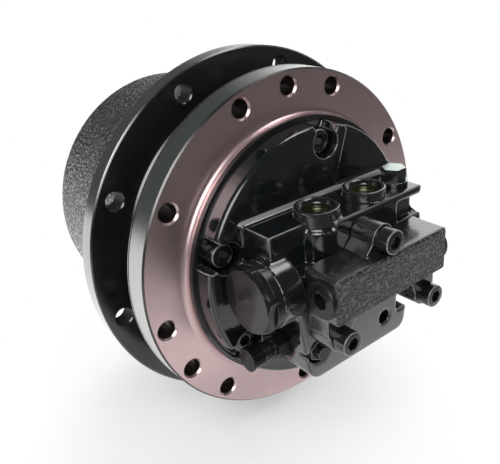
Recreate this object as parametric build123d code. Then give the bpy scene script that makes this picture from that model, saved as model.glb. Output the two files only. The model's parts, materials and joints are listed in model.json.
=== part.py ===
from build123d import *
import os
from math import acos, cos, pi, radians, sin, sqrt, tan

# Excavator final drive: a hydraulic travel motor and a two-stage planetary gearbox in one housing.
# Millimetres. The drive axis is Y: the motor is at -Y, the gearbox at +Y, and the work ports face +Z.
# The origin is the centre of the frame flange's mounting face.

# Clearances
RUNNING = 0.05
FACE_GAP = 0.3
FLANK = 0.3
SEATED = 0.05
EDGE = 1.0

# Motor rotating group, the core that the other diameters grow from
SHAFT = 12.0
SHAFT_TAIL = 10.0
SHAFT_TIP = 9.0
SHAFT_BORE = 14.0
VALVE_PLATE = 4.0
KIDNEY_HALF = 4.0
KIDNEY_BRIDGE = 18.0
PISTONS = 9
PISTON = 6.0
PISTON_CIRCLE = 24.0
PISTON_BORE_FLOOR = 4.0
BLOCK_WALL = 4.0
BLOCK_RADIUS = PISTON_CIRCLE + PISTON + BLOCK_WALL
BLOCK_LENGTH = 35.8
SHOE_REACH = 5.0
SHOE_STEM = 4.0
SHOE_FOOT = 3.0
SHOE_RADIUS = 7.8
SHOE_NECK = 4.0
SHOE_COLLAR = 6.0
RETAINER_SET = 1.0
RETAINER_RIM = 9.0
SWASH_THICK = 9.0
SWASH_BORE = 16.0
SHAFT_BEARING = 20.0
SHAFT_BEARING_WIDTH = 7.0
SHAFT_SEAL_WIDTH = 4.0
SHAFT_BEARING_STEP = 0.3
END_WALL_SET = 6.7
REAR_BEARING = 16.0
REAR_BEARING_LENGTH = 14.0

# Parking brake round the cylinder block
BRAKE_PLATE = 2.0
BRAKE_DISC = 1.6
BRAKE_DISCS = 3
BRAKE_BAND = 9.0
BRAKE_LEDGE = 3.0
BRAKE_CLEAR = 2.5
BRAKE_INNER = BLOCK_RADIUS + BRAKE_CLEAR
BRAKE_PISTON = 8.8
BRAKE_SPRING = 3.0
BRAKE_SPRING_STOCK = 1.5
BRAKE_SPRING_REST = 0.1

# Spindle: hollow journal, shoulder, spigot and bolted frame flange
CAVITY_STEP = BLOCK_RADIUS + BRAKE_BAND
CAVITY = CAVITY_STEP + BRAKE_LEDGE
SWASH_CLEAR = 5.0
SWASH_RADIUS = CAVITY_STEP - SWASH_CLEAR
JOURNAL_WALL = 14.0
JOURNAL = CAVITY + JOURNAL_WALL
SHOULDER_STEP = 6.0
SHOULDER = JOURNAL + SHOULDER_STEP
COVER_SEAT = 2.0
FRAME_THICK = 20.0

# Main bearings, tapered rollers on the journal
SHOULDER_LENGTH = 15.0
BEARING_WIDTH = 18.0
BEARING_SPACER = 6.0
BEARING_SECTION = 20.0
BEARING_OUTER = JOURNAL + BEARING_SECTION
BEARING_LAND = 4.0
ROLLER = 5.0
ROLLER_LENGTH = 14.0
ROLLER_TILT = 10.0
ROLLERS = 18
LOCK_NUT = 9.0
LOCK_NUT_CLEAR = 3.0
LOCK_NUT_WALL = 11.0
LOCK_NUT_RADIUS = JOURNAL + LOCK_NUT_WALL
LOCK_NUT_SLOTS = 6
LOCK_NUT_SLOT = 8.0

# Floating seal between the frame flange and the hub
HUB_GAP = 3.0
HUB_START = FRAME_THICK + HUB_GAP
SEAL_DEPTH = 10.0
SEAL_LAND = 14.0
SEAL_INNER = SHOULDER + SEAL_LAND
SEAL_BAND = 9.0
SEAL_OUTER = SEAL_INNER + SEAL_BAND
SEAL_RING_SPACE = 8.0
SEAL_POCKET = SEAL_OUTER + SEAL_RING_SPACE
SEAL_FACE = (FRAME_THICK + HUB_START) / 2

# Frame flange
SPIGOT_INSET = 2.0
SPIGOT_RADIUS = SEAL_POCKET - SPIGOT_INSET
SPIGOT_LENGTH = 8.0
SPIGOT_WALL = 2.6
SPIGOT_FILLET = 4.0
FRAME_HOLE = 6.2
FRAME_HOLE_SET = 19.5
FRAME_HOLE_CIRCLE = SPIGOT_RADIUS + FRAME_HOLE_SET
FRAME_HOLE_ANGLES = (30, 70, 90, 110, 150, 190, 210, 230, 270, 310, 330, 350)
FRAME_HOLE_CHAMFER = 1.2
FRAME_GROOVE = 1.2
FRAME_GROOVE_DEPTH = 1.4
FRAME_GROOVE_SET = 1.6
FRAME_HOLE_MARGIN = 10.5
FRAME_RADIUS = FRAME_HOLE_CIRCLE + FRAME_HOLE_MARGIN

# Gears: one module and one ring for both stages
MODULE = 3.0
PRESSURE_ANGLE = radians(25)
ADDENDUM = 0.8 * MODULE
DEDENDUM = 1.05 * MODULE
RING_TEETH = 54
SECOND_SUN_TEETH = 18
SECOND_PLANET_TEETH = 18
FIRST_SUN_TEETH = 12
FIRST_PLANET_TEETH = 21
PLANETS = 3
RING_WALL = 5.85
RING_OUTER = MODULE * RING_TEETH / 2 + DEDENDUM + RING_WALL
RING_SET = 1.0
STAGE_GAP = 2.0
SECOND_WIDTH = 24.0
FIRST_WIDTH = 18.0
SECOND_PIN = 10.0
FIRST_PIN = 9.0
SECOND_CIRCLE = MODULE * (SECOND_SUN_TEETH + SECOND_PLANET_TEETH) / 2
FIRST_CIRCLE = MODULE * (FIRST_SUN_TEETH + FIRST_PLANET_TEETH) / 2
SECOND_CARRIER_WALL = 8.0
SECOND_CARRIER_RADIUS = SECOND_CIRCLE + SECOND_PIN + SECOND_CARRIER_WALL
SECOND_CARRIER_THICK = 11.0
FIRST_CARRIER_THICK = 8.0
FIRST_ARM = 15.0
SUN_STEM = 20.0

# Hub, with its sprocket flange and cast drum
NECK_WALL = 7.0
NECK_RADIUS = SEAL_POCKET + NECK_WALL
NECK_FILLET = 4.0
LIP_STEP = 3.0
LIP_RADIUS = NECK_RADIUS + LIP_STEP
LIP_WIDTH = 4.0
COVER_BORE_STEP = 4.0
COVER_BORE = RING_OUTER + COVER_BORE_STEP
DRUM_WALL = 8.5
DRUM_END_RADIUS = COVER_BORE + DRUM_WALL
DRUM_DRAFT = 2.5
DRUM_RADIUS = DRUM_END_RADIUS + DRUM_DRAFT
DRUM_ROUND = 7.0
DRUM_LIP = 6.0
REGISTER_STEP = 0.5
REGISTER_RADIUS = DRUM_RADIUS + REGISTER_STEP
REGISTER_WIDTH = 8.0
SPROCKET_HOLES = 9
SPROCKET_HOLE = 6.2
SPROCKET_HOLE_CHAMFER = 0.8
SPROCKET_HOLE_SET = 17.0
SPROCKET_CIRCLE = REGISTER_RADIUS + SPROCKET_HOLE_SET
SPROCKET_FIRST_ANGLE = 113.5
SPROCKET_HOLE_MARGIN = 12.5
FLANGE_RADIUS = SPROCKET_CIRCLE + SPROCKET_HOLE_MARGIN
NECK_LENGTH = 26.5
FLANGE_START = HUB_START + NECK_LENGTH
FLANGE_THICK = 13.0

# End cover of the drum
END_COVER_SPACE = 6.0
END_COVER_THICK = 8.0
END_COVER_DOME = 60.0
END_COVER_SLOPE = 8.0
END_COVER_CROWN = 5.0
SNAP_RING = 2.6
SNAP_RING_DEPTH = 3.0
SNAP_RING_SHOWN = 4.0
SNAP_RING_OPENING = 14.0
OIL_PLUG_CIRCLE = 42.0
OIL_PLUG = 10.0
OIL_PLUG_RIM = 12.5
OIL_PLUG_PROUD = 2.0
PLUG_SOCKET_FLATS = 10.0
PLUG_SOCKET_DEPTH = 6.0

# Motor cover: bolted disc
COVER_RADIUS = SPIGOT_RADIUS - SPIGOT_WALL
COVER_TAPER = 1.6
COVER_EDGE = 2.0
COVER_THICK = 14.4
COVER_FRONT = -SPIGOT_LENGTH - COVER_THICK
COVER_SCREW_MARGIN = 13.4
COVER_SCREW_CIRCLE = COVER_RADIUS - COVER_SCREW_MARGIN
COVER_SCREW_ANGLES = (18, 82, 161.6, 213.6, 270, 326)
COVER_POCKET = 10.5
COVER_POCKET_DEPTH = 16.4
COVER_POCKET_FLOOR = COVER_FRONT + COVER_POCKET_DEPTH
COVER_SCREW_END = 8.0
COVER_STEP = 4.5
COVER_STEP_FOOT = 0.19 * COVER_RADIUS
COVER_STEP_HEAD = 0.37 * COVER_RADIUS

# Motor cover: casing with the port platform
CASING_SUNK = 4.0
CASING_REACH = 40.6
CASING_FRONT = COVER_FRONT - CASING_REACH
CASING_FOOT_INSET = 28.4
CASING_FOOT = -COVER_RADIUS + CASING_FOOT_INSET
CASING_SIDE_INSET = 46.4
CASING_FOOT_HALF = COVER_RADIUS - CASING_SIDE_INSET
CASING_SHOULDER = 14.0
CASING_FLARE = 9.0
CASING_ROUND = 9.0
CASING_EDGE = 3.0
PLATFORM_TOP_INSET = 48.4
PLATFORM_TOP = COVER_RADIUS - PLATFORM_TOP_INSET
PLATFORM_LEFT_INSET = 28.4
PLATFORM_LEFT = -COVER_RADIUS + PLATFORM_LEFT_INSET
PLATFORM_RIGHT_INSET = 30.4
PLATFORM_RIGHT = COVER_RADIUS - PLATFORM_RIGHT_INSET
PLATFORM_SLOPE = 5.5
NOTCH_DEPTH = 13.0
WAIST_OFFSET = 9.0
WAIST_RADIUS = 13.0
WAIST_DROP = 12.0
RECESS_WIDTH = 26.0
RECESS_DEPTH = 7.0
RECESS_DROP = 20.0
RIDGE = 2.5
FOOT_HEIGHT = 17.0
FOOT_NOTCH = 9.0
FOOT_NOTCH_HEIGHT = 14.0
FOOT_NOTCH_DEPTH = 13.0
PORT_X = 21.5
PORT_SET_BACK = 17.0
PORT_Y = CASING_FRONT + PORT_SET_BACK
PORT_RISE = 7.0
PORT_RIM = PLATFORM_TOP + PORT_RISE
PORT_BOSS = 14.0
PORT_COLUMN = 16.0
PORT_RADIUS = 9.5
PORT_MOUTH = 12.2
PORT_DEPTH = 22.0
PORT_FLOOR = PLATFORM_TOP - PORT_DEPTH
PORT_DRILLING = 5.0
GAUGE_INSET = 22.0
GAUGE_X = CASING_FOOT_HALF - GAUGE_INSET
GAUGE_RISE = 18.0
GAUGE_Z = CASING_FOOT + GAUGE_RISE
GAUGE_RADIUS = 5.2
GAUGE_DEPTH = 14.0

# Counterbalance spool across the casing, under the ports
SPOOL_SET_BACK = 18.0
SPOOL_Y = CASING_FRONT + SPOOL_SET_BACK
SPOOL_DROP = 38.0
SPOOL_Z = PLATFORM_TOP - SPOOL_DROP
SPOOL = 8.0
SPOOL_HALF = 38.0
SPOOL_BOSS = 23.0
SPOOL_BOSS_RISE = 5.0
SPOOL_BOSS_END = SPOOL_BOSS_RISE - PLATFORM_LEFT
SPOOL_RIGHT_INSET = 2.0
SPOOL_RIGHT_END = PLATFORM_RIGHT - SPOOL_RIGHT_INSET
SPOOL_WAIST = 0.6
SPRING_WIRE = 1.5
SPRING_PLAY = 0.5
CAP_FLATS = 41.0
CAP_ROUND = 22.7
CAP_COLLAR = 5.5
CAP_LENGTH = 12.0
CAP_CHAMFER = 2.0
CAP_THREAD = 14.0
CAP_DEPTH = 17.0
CAP_TURN = -11.0
SPOOL_REACH = SPOOL_BOSS_END - CAP_DEPTH
SPOOL_PLUG_SOCKET = 5.0

# Valve block on the casing's front, with the speed spool
BLOCK_LEFT_INSET = 15.0
BLOCK_LEFT = PLATFORM_LEFT + BLOCK_LEFT_INSET
BLOCK_RIGHT_INSET = 9.0
BLOCK_RIGHT = PLATFORM_RIGHT - BLOCK_RIGHT_INSET
BLOCK_DROP = 20.0
BLOCK_TOP = PLATFORM_TOP - BLOCK_DROP
BLOCK_HEIGHT = 31.0
BLOCK_FOOT = BLOCK_TOP - BLOCK_HEIGHT
BLOCK_DEPTH = 28.0
BLOCK_FRONT = CASING_FRONT - BLOCK_DEPTH
BLOCK_ROUND = 2.0
BLOCK_EDGE = 1.2
LUG_THICK = 19.0
LUG_FRONT = CASING_FRONT - LUG_THICK
LUG_RADIUS = 9.5
LUG_NECK = 8.5
LUG_FOOT = 16.0
BLOCK_SCREWS = (
    (0.0, BLOCK_TOP + 8.0),
    (BLOCK_LEFT + 11.0, BLOCK_FOOT - 16.0),
    (BLOCK_RIGHT - 10.0, BLOCK_FOOT - 18.0),
)
SPEED_SPOOL = 6.0
SPEED_SPOOL_HALF = 20.0
PLUG_FLANGE = 12.5
PLUG_PROUD = 3.0
PLUG_CONE = 1.0
PLUG_THREAD = 9.0
PLUG_DEPTH = 14.0
SPEED_SPOOL_Y = BLOCK_FRONT + PLUG_FLANGE
SPEED_SPOOL_RISE = 15.0
SPEED_SPOOL_Z = BLOCK_FOOT + SPEED_SPOOL_RISE

# Screws, plugs and fittings
SCREW = 5.0
SCREW_HEAD = 8.0
SCREW_HEAD_HEIGHT = 10.0
SCREW_HEAD_EDGE = 0.8
SCREW_GRIP = 18.0
SOCKET_FLATS = 8.0
SOCKET_DEPTH = 5.0
PILOT_INSET = 11.0
PILOT_X = PLATFORM_RIGHT - PILOT_INSET
PILOT_FLATS = 15.0
PILOT_FLANGE = 10.0
PILOT_COLLAR = 3.0
PILOT_HEIGHT = 12.0
ADAPTER_SET_BACK = 27.0
ADAPTER_Y = CASING_FRONT + ADAPTER_SET_BACK
ADAPTER_RISE = 21.0
ADAPTER_Z = CASING_FOOT + ADAPTER_RISE
ADAPTER_SEAT_RISE = 1.4
ADAPTER_SEAT = -CASING_FOOT_HALF - ADAPTER_SEAT_RISE
ADAPTER_SPOT = 10.5
ADAPTER_FLATS = 17.0
ADAPTER_HEX = 11.0
ADAPTER_LENGTH = 31.6
ADAPTER_TUBE = 6.0
ADAPTER_BORE = 4.0
CAP_SKIRT = 9.0
CAP_WALL = 1.2
CAP_FACE = 1.6
CAP_RIM = 8.0
FITTING_INSET = 6.5
FITTING_X = -CASING_FOOT_HALF + FITTING_INSET
FITTING_RISE = 21.5
FITTING_Z = CASING_FOOT + FITTING_RISE
FITTING_POCKET = 9.0
FITTING_POCKET_DEPTH = 9.0
FITTING_FLATS = 13.0
FITTING_HEX = 8.0
FITTING_TIP = 4.5
FITTING_LENGTH = 13.0

# Places worked out along the drive axis
BLOCK_START = COVER_SEAT + VALVE_PLATE + FACE_GAP
BLOCK_END = BLOCK_START + BLOCK_LENGTH
SHOE_START = BLOCK_END + SHOE_REACH
RETAINER_START = SHOE_START + RETAINER_SET
SHOE_FLANGE = SHOE_START + SHOE_STEM
SWASH_FACE = SHOE_FLANGE + SHOE_FOOT + FACE_GAP
BEARING_1 = HUB_START + SHOULDER_LENGTH
BEARING_2 = BEARING_1 + BEARING_WIDTH + BEARING_SPACER
BEARINGS_END = BEARING_2 + BEARING_WIDTH
SPINDLE_END = BEARINGS_END + LOCK_NUT + LOCK_NUT_CLEAR
SHAFT_BEARING_END = SPINDLE_END - SHAFT_SEAL_WIDTH
SHAFT_BEARING_START = SHAFT_BEARING_END - SHAFT_BEARING_WIDTH
SADDLE_END = SHAFT_BEARING_START - SHAFT_BEARING_STEP
END_WALL = SADDLE_END - END_WALL_SET
CRADLE = SADDLE_END - SWASH_FACE - FACE_GAP
BRAKE_START = COVER_SEAT + BRAKE_SPRING + BRAKE_PISTON + FACE_GAP
BRAKE_PITCH = BRAKE_PLATE + BRAKE_DISC + 2 * FACE_GAP
BRAKE_END = BRAKE_START + BRAKE_DISCS * BRAKE_PITCH + BRAKE_PLATE
SECOND_CARRIER_END = SPINDLE_END + SECOND_CARRIER_THICK
SECOND_START = SECOND_CARRIER_END + STAGE_GAP
SECOND_END = SECOND_START + SECOND_WIDTH
FIRST_CARRIER_START = SECOND_END + STAGE_GAP
FIRST_CARRIER_END = FIRST_CARRIER_START + FIRST_CARRIER_THICK
FIRST_START = FIRST_CARRIER_END + STAGE_GAP
FIRST_END = FIRST_START + FIRST_WIDTH
RING_START = SECOND_START - RING_SET
SHAFT_END = FIRST_END + RING_SET
FLANGE_END = FLANGE_START + FLANGE_THICK
END_COVER_INNER = SHAFT_END + END_COVER_SPACE
END_COVER_END = END_COVER_INNER + END_COVER_THICK
DRUM_END = END_COVER_END + DRUM_LIP


# Shapes that many pieces share

def turned(*points):
    """A solid turned about the drive axis from (radius, y) points."""
    return revolve(make_face(Polyline(*points, close=True)), Axis.Y)


def tube(outer, inner, start, end):
    """A plain ring about the drive axis."""
    return turned((inner, start), (outer, start), (outer, end), (inner, end))


def rod(radius, start, end):
    """A round bar between two points."""
    run = Vector(*end) - Vector(*start)
    place = Plane(origin=start, z_dir=run.normalized())
    return place * Cylinder(radius, run.length, align=(Align.CENTER, Align.CENTER, Align.MIN))


def hex_bar(flats, start, end, turn=0.0):
    """A hexagonal bar between two points, by its width across flats, turned about its own axis."""
    run = Vector(*end) - Vector(*start)
    place = Plane(origin=start, z_dir=run.normalized())
    return extrude(place * RegularPolygon(flats / 2, 6, major_radius=False, rotation=turn), run.length)


def polar(radius, degrees, y):
    """A point at an angle about the drive axis, from +X towards +Z."""
    return (radius * cos(radians(degrees)), y, radius * sin(radians(degrees)))


def bar_at(radius, circle, degrees, start, end):
    """A round bar parallel to the drive axis, at an angle about it."""
    return rod(radius, polar(circle, degrees, start), polar(circle, degrees, end))


def chamfered_hole(radius, edge, circle, degrees, start, end):
    """What is cut for a bolt hole parallel to the drive axis, with a chamfer at its start."""
    wide = Cone(radius + edge, radius, edge, align=(Align.CENTER, Align.CENTER, Align.MIN))
    mouth = Plane(origin=polar(circle, degrees, start), z_dir=(0, 1, 0)) * wide
    return bar_at(radius, circle, degrees, start, end) + mouth


def spread(piece, count):
    """Copies of a piece evenly spaced about the drive axis."""
    return [piece.rotate(Axis.Y, 360 / count * i) for i in range(count)]


def pushed(outline, start, end):
    """An outline of (x, z) points pushed along the drive axis from one y to another, towards -Y."""
    return extrude(Plane.XZ.offset(-start) * outline, start - end, dir=(0, -1, 0))


def gear_face(teeth, root, tip, flank_gap, tooth_angle):
    """The outline of an involute gear on a plane across the drive axis, angles turning about +Y."""
    pitch = MODULE * teeth / 2
    base = pitch * cos(PRESSURE_ANGLE)
    involute = tan(PRESSURE_ANGLE) - PRESSURE_ANGLE

    def half_angle(radius):
        roll = acos(base / max(radius, base))
        return pi / 2 / teeth - flank_gap / 2 / pitch + involute - tan(roll) + roll

    flank = [root, max(root, pitch - 0.4 * MODULE), pitch, tip]
    points = []
    for tooth in range(teeth):
        centre = tooth_angle + 2 * pi * tooth / teeth
        for side, radii in ((-1, flank), (1, flank[::-1])):
            for radius in radii:
                angle = centre + side * half_angle(radius)
                points.append((radius * cos(angle), radius * sin(angle)))
    return make_face(Polyline(*points, close=True))


def gear(teeth, bore, start, width, tooth_angle, centre=0.0):
    """An outside gear on an axis parallel to the drive axis, at this distance along +X."""
    pitch = MODULE * teeth / 2
    outline = gear_face(teeth, pitch - DEDENDUM, pitch + ADDENDUM, FLANK, tooth_angle)
    place = Plane(origin=(centre, start, 0), x_dir=(1, 0, 0), z_dir=(0, 1, 0))
    return extrude(place * (outline - Circle(bore)), width)


def cap_screw(x, z, seat, grip):
    """A socket head cap screw driven along +Y, its head standing towards -Y from its seat."""
    front = seat - SCREW_HEAD_HEIGHT
    head = rod(SCREW_HEAD, (x, front, z), (x, seat, z))
    head = chamfer(head.edges().sort_by(Axis.Y)[0], SCREW_HEAD_EDGE)
    screw = rod(SCREW, (x, seat, z), (x, seat + grip, z)) + head
    return screw - hex_bar(SOCKET_FLATS, (x, front, z), (x, front + SOCKET_DEPTH, z))


# Spindle side

def spindle():
    """Frame flange, spigot and hollow bearing journal, in one forging."""
    groove_end = FRAME_THICK - FRAME_GROOVE_SET
    outline = Polyline(
        (SPIGOT_RADIUS + SPIGOT_FILLET, 0),
        (FRAME_RADIUS - EDGE, 0),
        (FRAME_RADIUS, EDGE),
        (FRAME_RADIUS, groove_end - FRAME_GROOVE),
        (FRAME_RADIUS - FRAME_GROOVE_DEPTH, groove_end - FRAME_GROOVE),
        (FRAME_RADIUS - FRAME_GROOVE_DEPTH, groove_end),
        (FRAME_RADIUS, groove_end),
        (FRAME_RADIUS, FRAME_THICK - EDGE),
        (FRAME_RADIUS - EDGE, FRAME_THICK),
        (SEAL_POCKET, FRAME_THICK),
        (SEAL_POCKET, SEAL_DEPTH),
        (SHOULDER, SEAL_DEPTH),
        (SHOULDER, BEARING_1),
        (JOURNAL, BEARING_1),
        (JOURNAL, SPINDLE_END),
        (SHAFT_BEARING, SPINDLE_END),
        (SHAFT_BEARING, SHAFT_BEARING_START),
        (SHAFT_BORE, SHAFT_BEARING_START),
        (SHAFT_BORE, END_WALL),
        (CAVITY_STEP, END_WALL),
        (CAVITY_STEP, BRAKE_END + FACE_GAP),
        (CAVITY, BRAKE_END + FACE_GAP),
        (CAVITY, COVER_SEAT),
        (COVER_RADIUS + SEATED, COVER_SEAT),
        (COVER_RADIUS + SEATED, -SPIGOT_LENGTH),
        (SPIGOT_RADIUS, -SPIGOT_LENGTH),
        (SPIGOT_RADIUS, -SPIGOT_FILLET),
    )
    rounding = SPIGOT_FILLET * (1 - 1 / sqrt(2))
    root = ThreePointArc(
        (SPIGOT_RADIUS, -SPIGOT_FILLET),
        (SPIGOT_RADIUS + rounding, -rounding),
        (SPIGOT_RADIUS + SPIGOT_FILLET, 0),
    )
    body = revolve(make_face(outline + root), Axis.Y)
    body -= rod(CRADLE + FACE_GAP, (-CAVITY_STEP, SWASH_FACE, 0), (CAVITY_STEP, SWASH_FACE, 0)) & rod(
        CAVITY_STEP, (0, SWASH_FACE, 0), (0, SADDLE_END, 0)
    )
    for angle in FRAME_HOLE_ANGLES:
        body -= chamfered_hole(FRAME_HOLE, FRAME_HOLE_CHAMFER, FRAME_HOLE_CIRCLE, angle, 0, FRAME_THICK)
    for angle in COVER_SCREW_ANGLES:
        body -= bar_at(SCREW + SEATED, COVER_SCREW_CIRCLE, angle, COVER_SEAT, COVER_SCREW_END)
    return body


def second_carrier():
    """Plate on the spindle's end that holds the second planets' pins still."""
    plate = tube(SECOND_CARRIER_RADIUS, SHAFT_BORE, SPINDLE_END, SECOND_CARRIER_END)
    hole = bar_at(SECOND_PIN + SEATED, SECOND_CIRCLE, 0, SPINDLE_END, SECOND_CARRIER_END)
    return plate - spread(hole, PLANETS)


def second_planet_pins():
    """Three steel pins fixed in the second carrier."""
    pin = bar_at(SECOND_PIN, SECOND_CIRCLE, 0, SPINDLE_END, SECOND_END + STAGE_GAP / 2)
    return spread(pin, PLANETS)


def raceway(distance, side):
    """Radius of a taper raceway at a distance from the bearing's wide end, inside or outside the rollers."""
    middle = (JOURNAL + BEARING_OUTER) / 2 + tan(radians(ROLLER_TILT)) * (BEARING_WIDTH / 2 - distance)
    return middle + side * (ROLLER + RUNNING) / cos(radians(ROLLER_TILT))


def bearing_ring(start, towards, side):
    """One ring of a main bearing; its wide end is at start and it narrows along towards."""
    edge = BEARING_OUTER if side > 0 else JOURNAL
    far = start + towards * BEARING_WIDTH
    return turned((edge, start), (raceway(0, side), start), (raceway(BEARING_WIDTH, side), far), (edge, far))


def bearing_places():
    """Start and direction of the two main bearings, set back to back."""
    return ((BEARING_1, 1), (BEARINGS_END, -1))


def main_bearing_inner_rings():
    return [bearing_ring(start, towards, -1) for start, towards in bearing_places()]


def main_bearing_outer_rings():
    return [bearing_ring(start, towards, 1) for start, towards in bearing_places()]


def main_bearing_rollers():
    """Two rows of rollers, leaning with their raceways."""
    rollers = []
    for start, towards in bearing_places():
        middle = Vector((JOURNAL + BEARING_OUTER) / 2, start + towards * BEARING_WIDTH / 2, 0)
        lean = Vector(-sin(radians(ROLLER_TILT)), towards * cos(radians(ROLLER_TILT)), 0)
        half = lean * (ROLLER_LENGTH / 2)
        rollers += spread(rod(ROLLER, middle - half, middle + half), ROLLERS)
    return rollers


def bearing_spacer():
    """Ring that keeps the two inner rings apart on the journal."""
    return tube(SHOULDER - EDGE, JOURNAL, BEARING_1 + BEARING_WIDTH, BEARING_2)


def lock_nut():
    """Slotted nut that loads the main bearings."""
    end = BEARINGS_END + LOCK_NUT
    nut = tube(LOCK_NUT_RADIUS, JOURNAL, BEARINGS_END, end)
    slot = Pos(LOCK_NUT_RADIUS, end, 0) * Box(LOCK_NUT_SLOT, LOCK_NUT, LOCK_NUT_SLOT)
    return nut - spread(slot, LOCK_NUT_SLOTS)


def seal_ring(start, end):
    """Hard metal ring of the floating seal."""
    return tube(SEAL_OUTER, SEAL_INNER, start, end)


def seal_o_ring(middle):
    """Round rubber ring that presses a seal ring on its mate."""
    section = (SEAL_POCKET - SEAL_OUTER) / 2 - SEATED
    place = Plane(origin=((SEAL_POCKET + SEAL_OUTER) / 2, middle, 0), x_dir=(1, 0, 0), z_dir=(0, 0, 1))
    return revolve(place * Circle(section), Axis.Y)


# Hub side

def hub_drum():
    """Cast hub: neck, sprocket flange and drum, bored for the bearings and the ring gear."""
    rounding = DRUM_ROUND * (1 - 1 / sqrt(2))
    outline = Polyline(
        (DRUM_END_RADIUS - DRUM_ROUND, DRUM_END),
        (COVER_BORE, DRUM_END),
        (COVER_BORE, END_COVER_INNER),
        (RING_OUTER, END_COVER_INNER),
        (RING_OUTER, RING_START),
        (BEARING_OUTER, RING_START),
        (BEARING_OUTER, BEARING_2),
        (BEARING_OUTER - BEARING_LAND, BEARING_2),
        (BEARING_OUTER - BEARING_LAND, BEARING_1 + BEARING_WIDTH),
        (BEARING_OUTER, BEARING_1 + BEARING_WIDTH),
        (BEARING_OUTER, HUB_START + SEAL_DEPTH),
        (SEAL_POCKET, HUB_START + SEAL_DEPTH),
        (SEAL_POCKET, HUB_START),
        (LIP_RADIUS, HUB_START),
        (LIP_RADIUS, HUB_START + LIP_WIDTH),
        (NECK_RADIUS, HUB_START + LIP_WIDTH),
        (NECK_RADIUS, FLANGE_START - NECK_FILLET),
        (NECK_RADIUS + NECK_FILLET, FLANGE_START),
        (FLANGE_RADIUS - EDGE, FLANGE_START),
        (FLANGE_RADIUS, FLANGE_START + EDGE),
        (FLANGE_RADIUS, FLANGE_END - EDGE),
        (FLANGE_RADIUS - EDGE, FLANGE_END),
        (REGISTER_RADIUS, FLANGE_END),
        (REGISTER_RADIUS, FLANGE_END + REGISTER_WIDTH),
        (DRUM_RADIUS, FLANGE_END + REGISTER_WIDTH),
        (DRUM_END_RADIUS, DRUM_END - DRUM_ROUND),
    )
    rim = ThreePointArc(
        (DRUM_END_RADIUS, DRUM_END - DRUM_ROUND),
        (DRUM_END_RADIUS - rounding, DRUM_END - rounding),
        (DRUM_END_RADIUS - DRUM_ROUND, DRUM_END),
    )
    hub = revolve(make_face(outline + rim), Axis.Y)
    for hole in range(SPROCKET_HOLES):
        angle = SPROCKET_FIRST_ANGLE + 360 / SPROCKET_HOLES * hole
        place = (SPROCKET_CIRCLE, angle, FLANGE_START, FLANGE_END)
        hub -= chamfered_hole(SPROCKET_HOLE, SPROCKET_HOLE_CHAMFER, *place)
    groove_end = END_COVER_END + SNAP_RING + SEATED
    return hub - tube(COVER_BORE + SNAP_RING_DEPTH, COVER_BORE - EDGE, END_COVER_END, groove_end)


def ring_gear():
    """Inside-toothed ring pressed into the drum, shared by both planet stages."""
    pitch = MODULE * RING_TEETH / 2
    hollow = gear_face(RING_TEETH, pitch - ADDENDUM, pitch + DEDENDUM, -FLANK, pi / RING_TEETH)
    place = Plane(origin=(0, RING_START, 0), x_dir=(1, 0, 0), z_dir=(0, 1, 0))
    return extrude(place * (Circle(RING_OUTER) - hollow), END_COVER_INNER - RING_START)


def end_cover():
    """Pressed cover in the drum's end, crowned outwards, with two tapped bosses for the oil plugs."""
    crown = END_COVER_END + END_COVER_CROWN
    cover = turned(
        (0, END_COVER_INNER),
        (COVER_BORE - SEATED, END_COVER_INNER),
        (COVER_BORE - SEATED, END_COVER_END),
        (END_COVER_DOME + END_COVER_SLOPE, END_COVER_END),
        (END_COVER_DOME, crown),
        (0, crown),
    )
    for side in (-1, 1):
        cover -= bar_at(OIL_PLUG + SEATED, OIL_PLUG_CIRCLE, side * 90, END_COVER_INNER, crown)
    return cover


def snap_ring():
    """Open spring ring that holds the end cover."""
    start = END_COVER_END
    inner = COVER_BORE - SNAP_RING_SHOWN
    ring = tube(COVER_BORE + SNAP_RING_DEPTH - SEATED, inner, start, start + SNAP_RING)
    return ring - Pos(0, start, -COVER_BORE) * Box(SNAP_RING_OPENING, 4 * SNAP_RING, SNAP_RING_OPENING)


def oil_plugs():
    """Two socket plugs in the end cover, for filling and draining."""
    plugs = []
    front = END_COVER_END + END_COVER_CROWN
    face = front + OIL_PLUG_PROUD
    for side in (-1, 1):
        z = side * OIL_PLUG_CIRCLE
        plug = rod(OIL_PLUG, (0, END_COVER_INNER, z), (0, front, z))
        plug += rod(OIL_PLUG_RIM, (0, front, z), (0, face, z))
        plugs.append(plug - hex_bar(PLUG_SOCKET_FLATS, (0, face, z), (0, face - PLUG_SOCKET_DEPTH, z)))
    return plugs


def thrust_pad():
    """Hard button inside the end cover that the motor shaft's end runs against."""
    return rod(SHAFT_TIP, (0, SHAFT_END + FACE_GAP, 0), (0, END_COVER_INNER, 0))


# Planet gears

def second_planet():
    angle = pi + pi / SECOND_PLANET_TEETH
    return gear(SECOND_PLANET_TEETH, SECOND_PIN + RUNNING, SECOND_START, SECOND_WIDTH, angle, SECOND_CIRCLE)


def first_planet():
    angle = -pi / FIRST_PLANET_TEETH
    return gear(FIRST_PLANET_TEETH, FIRST_PIN + RUNNING, FIRST_START, FIRST_WIDTH, angle, FIRST_CIRCLE)


def second_sun():
    """Hollow sun of the second stage, with the stem that the first carrier drives."""
    toothed = gear(SECOND_SUN_TEETH, SHAFT_BORE, SECOND_START, SECOND_WIDTH, 0.0)
    return toothed + tube(SUN_STEM, SHAFT_BORE, SECOND_END, FIRST_CARRIER_END)


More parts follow.
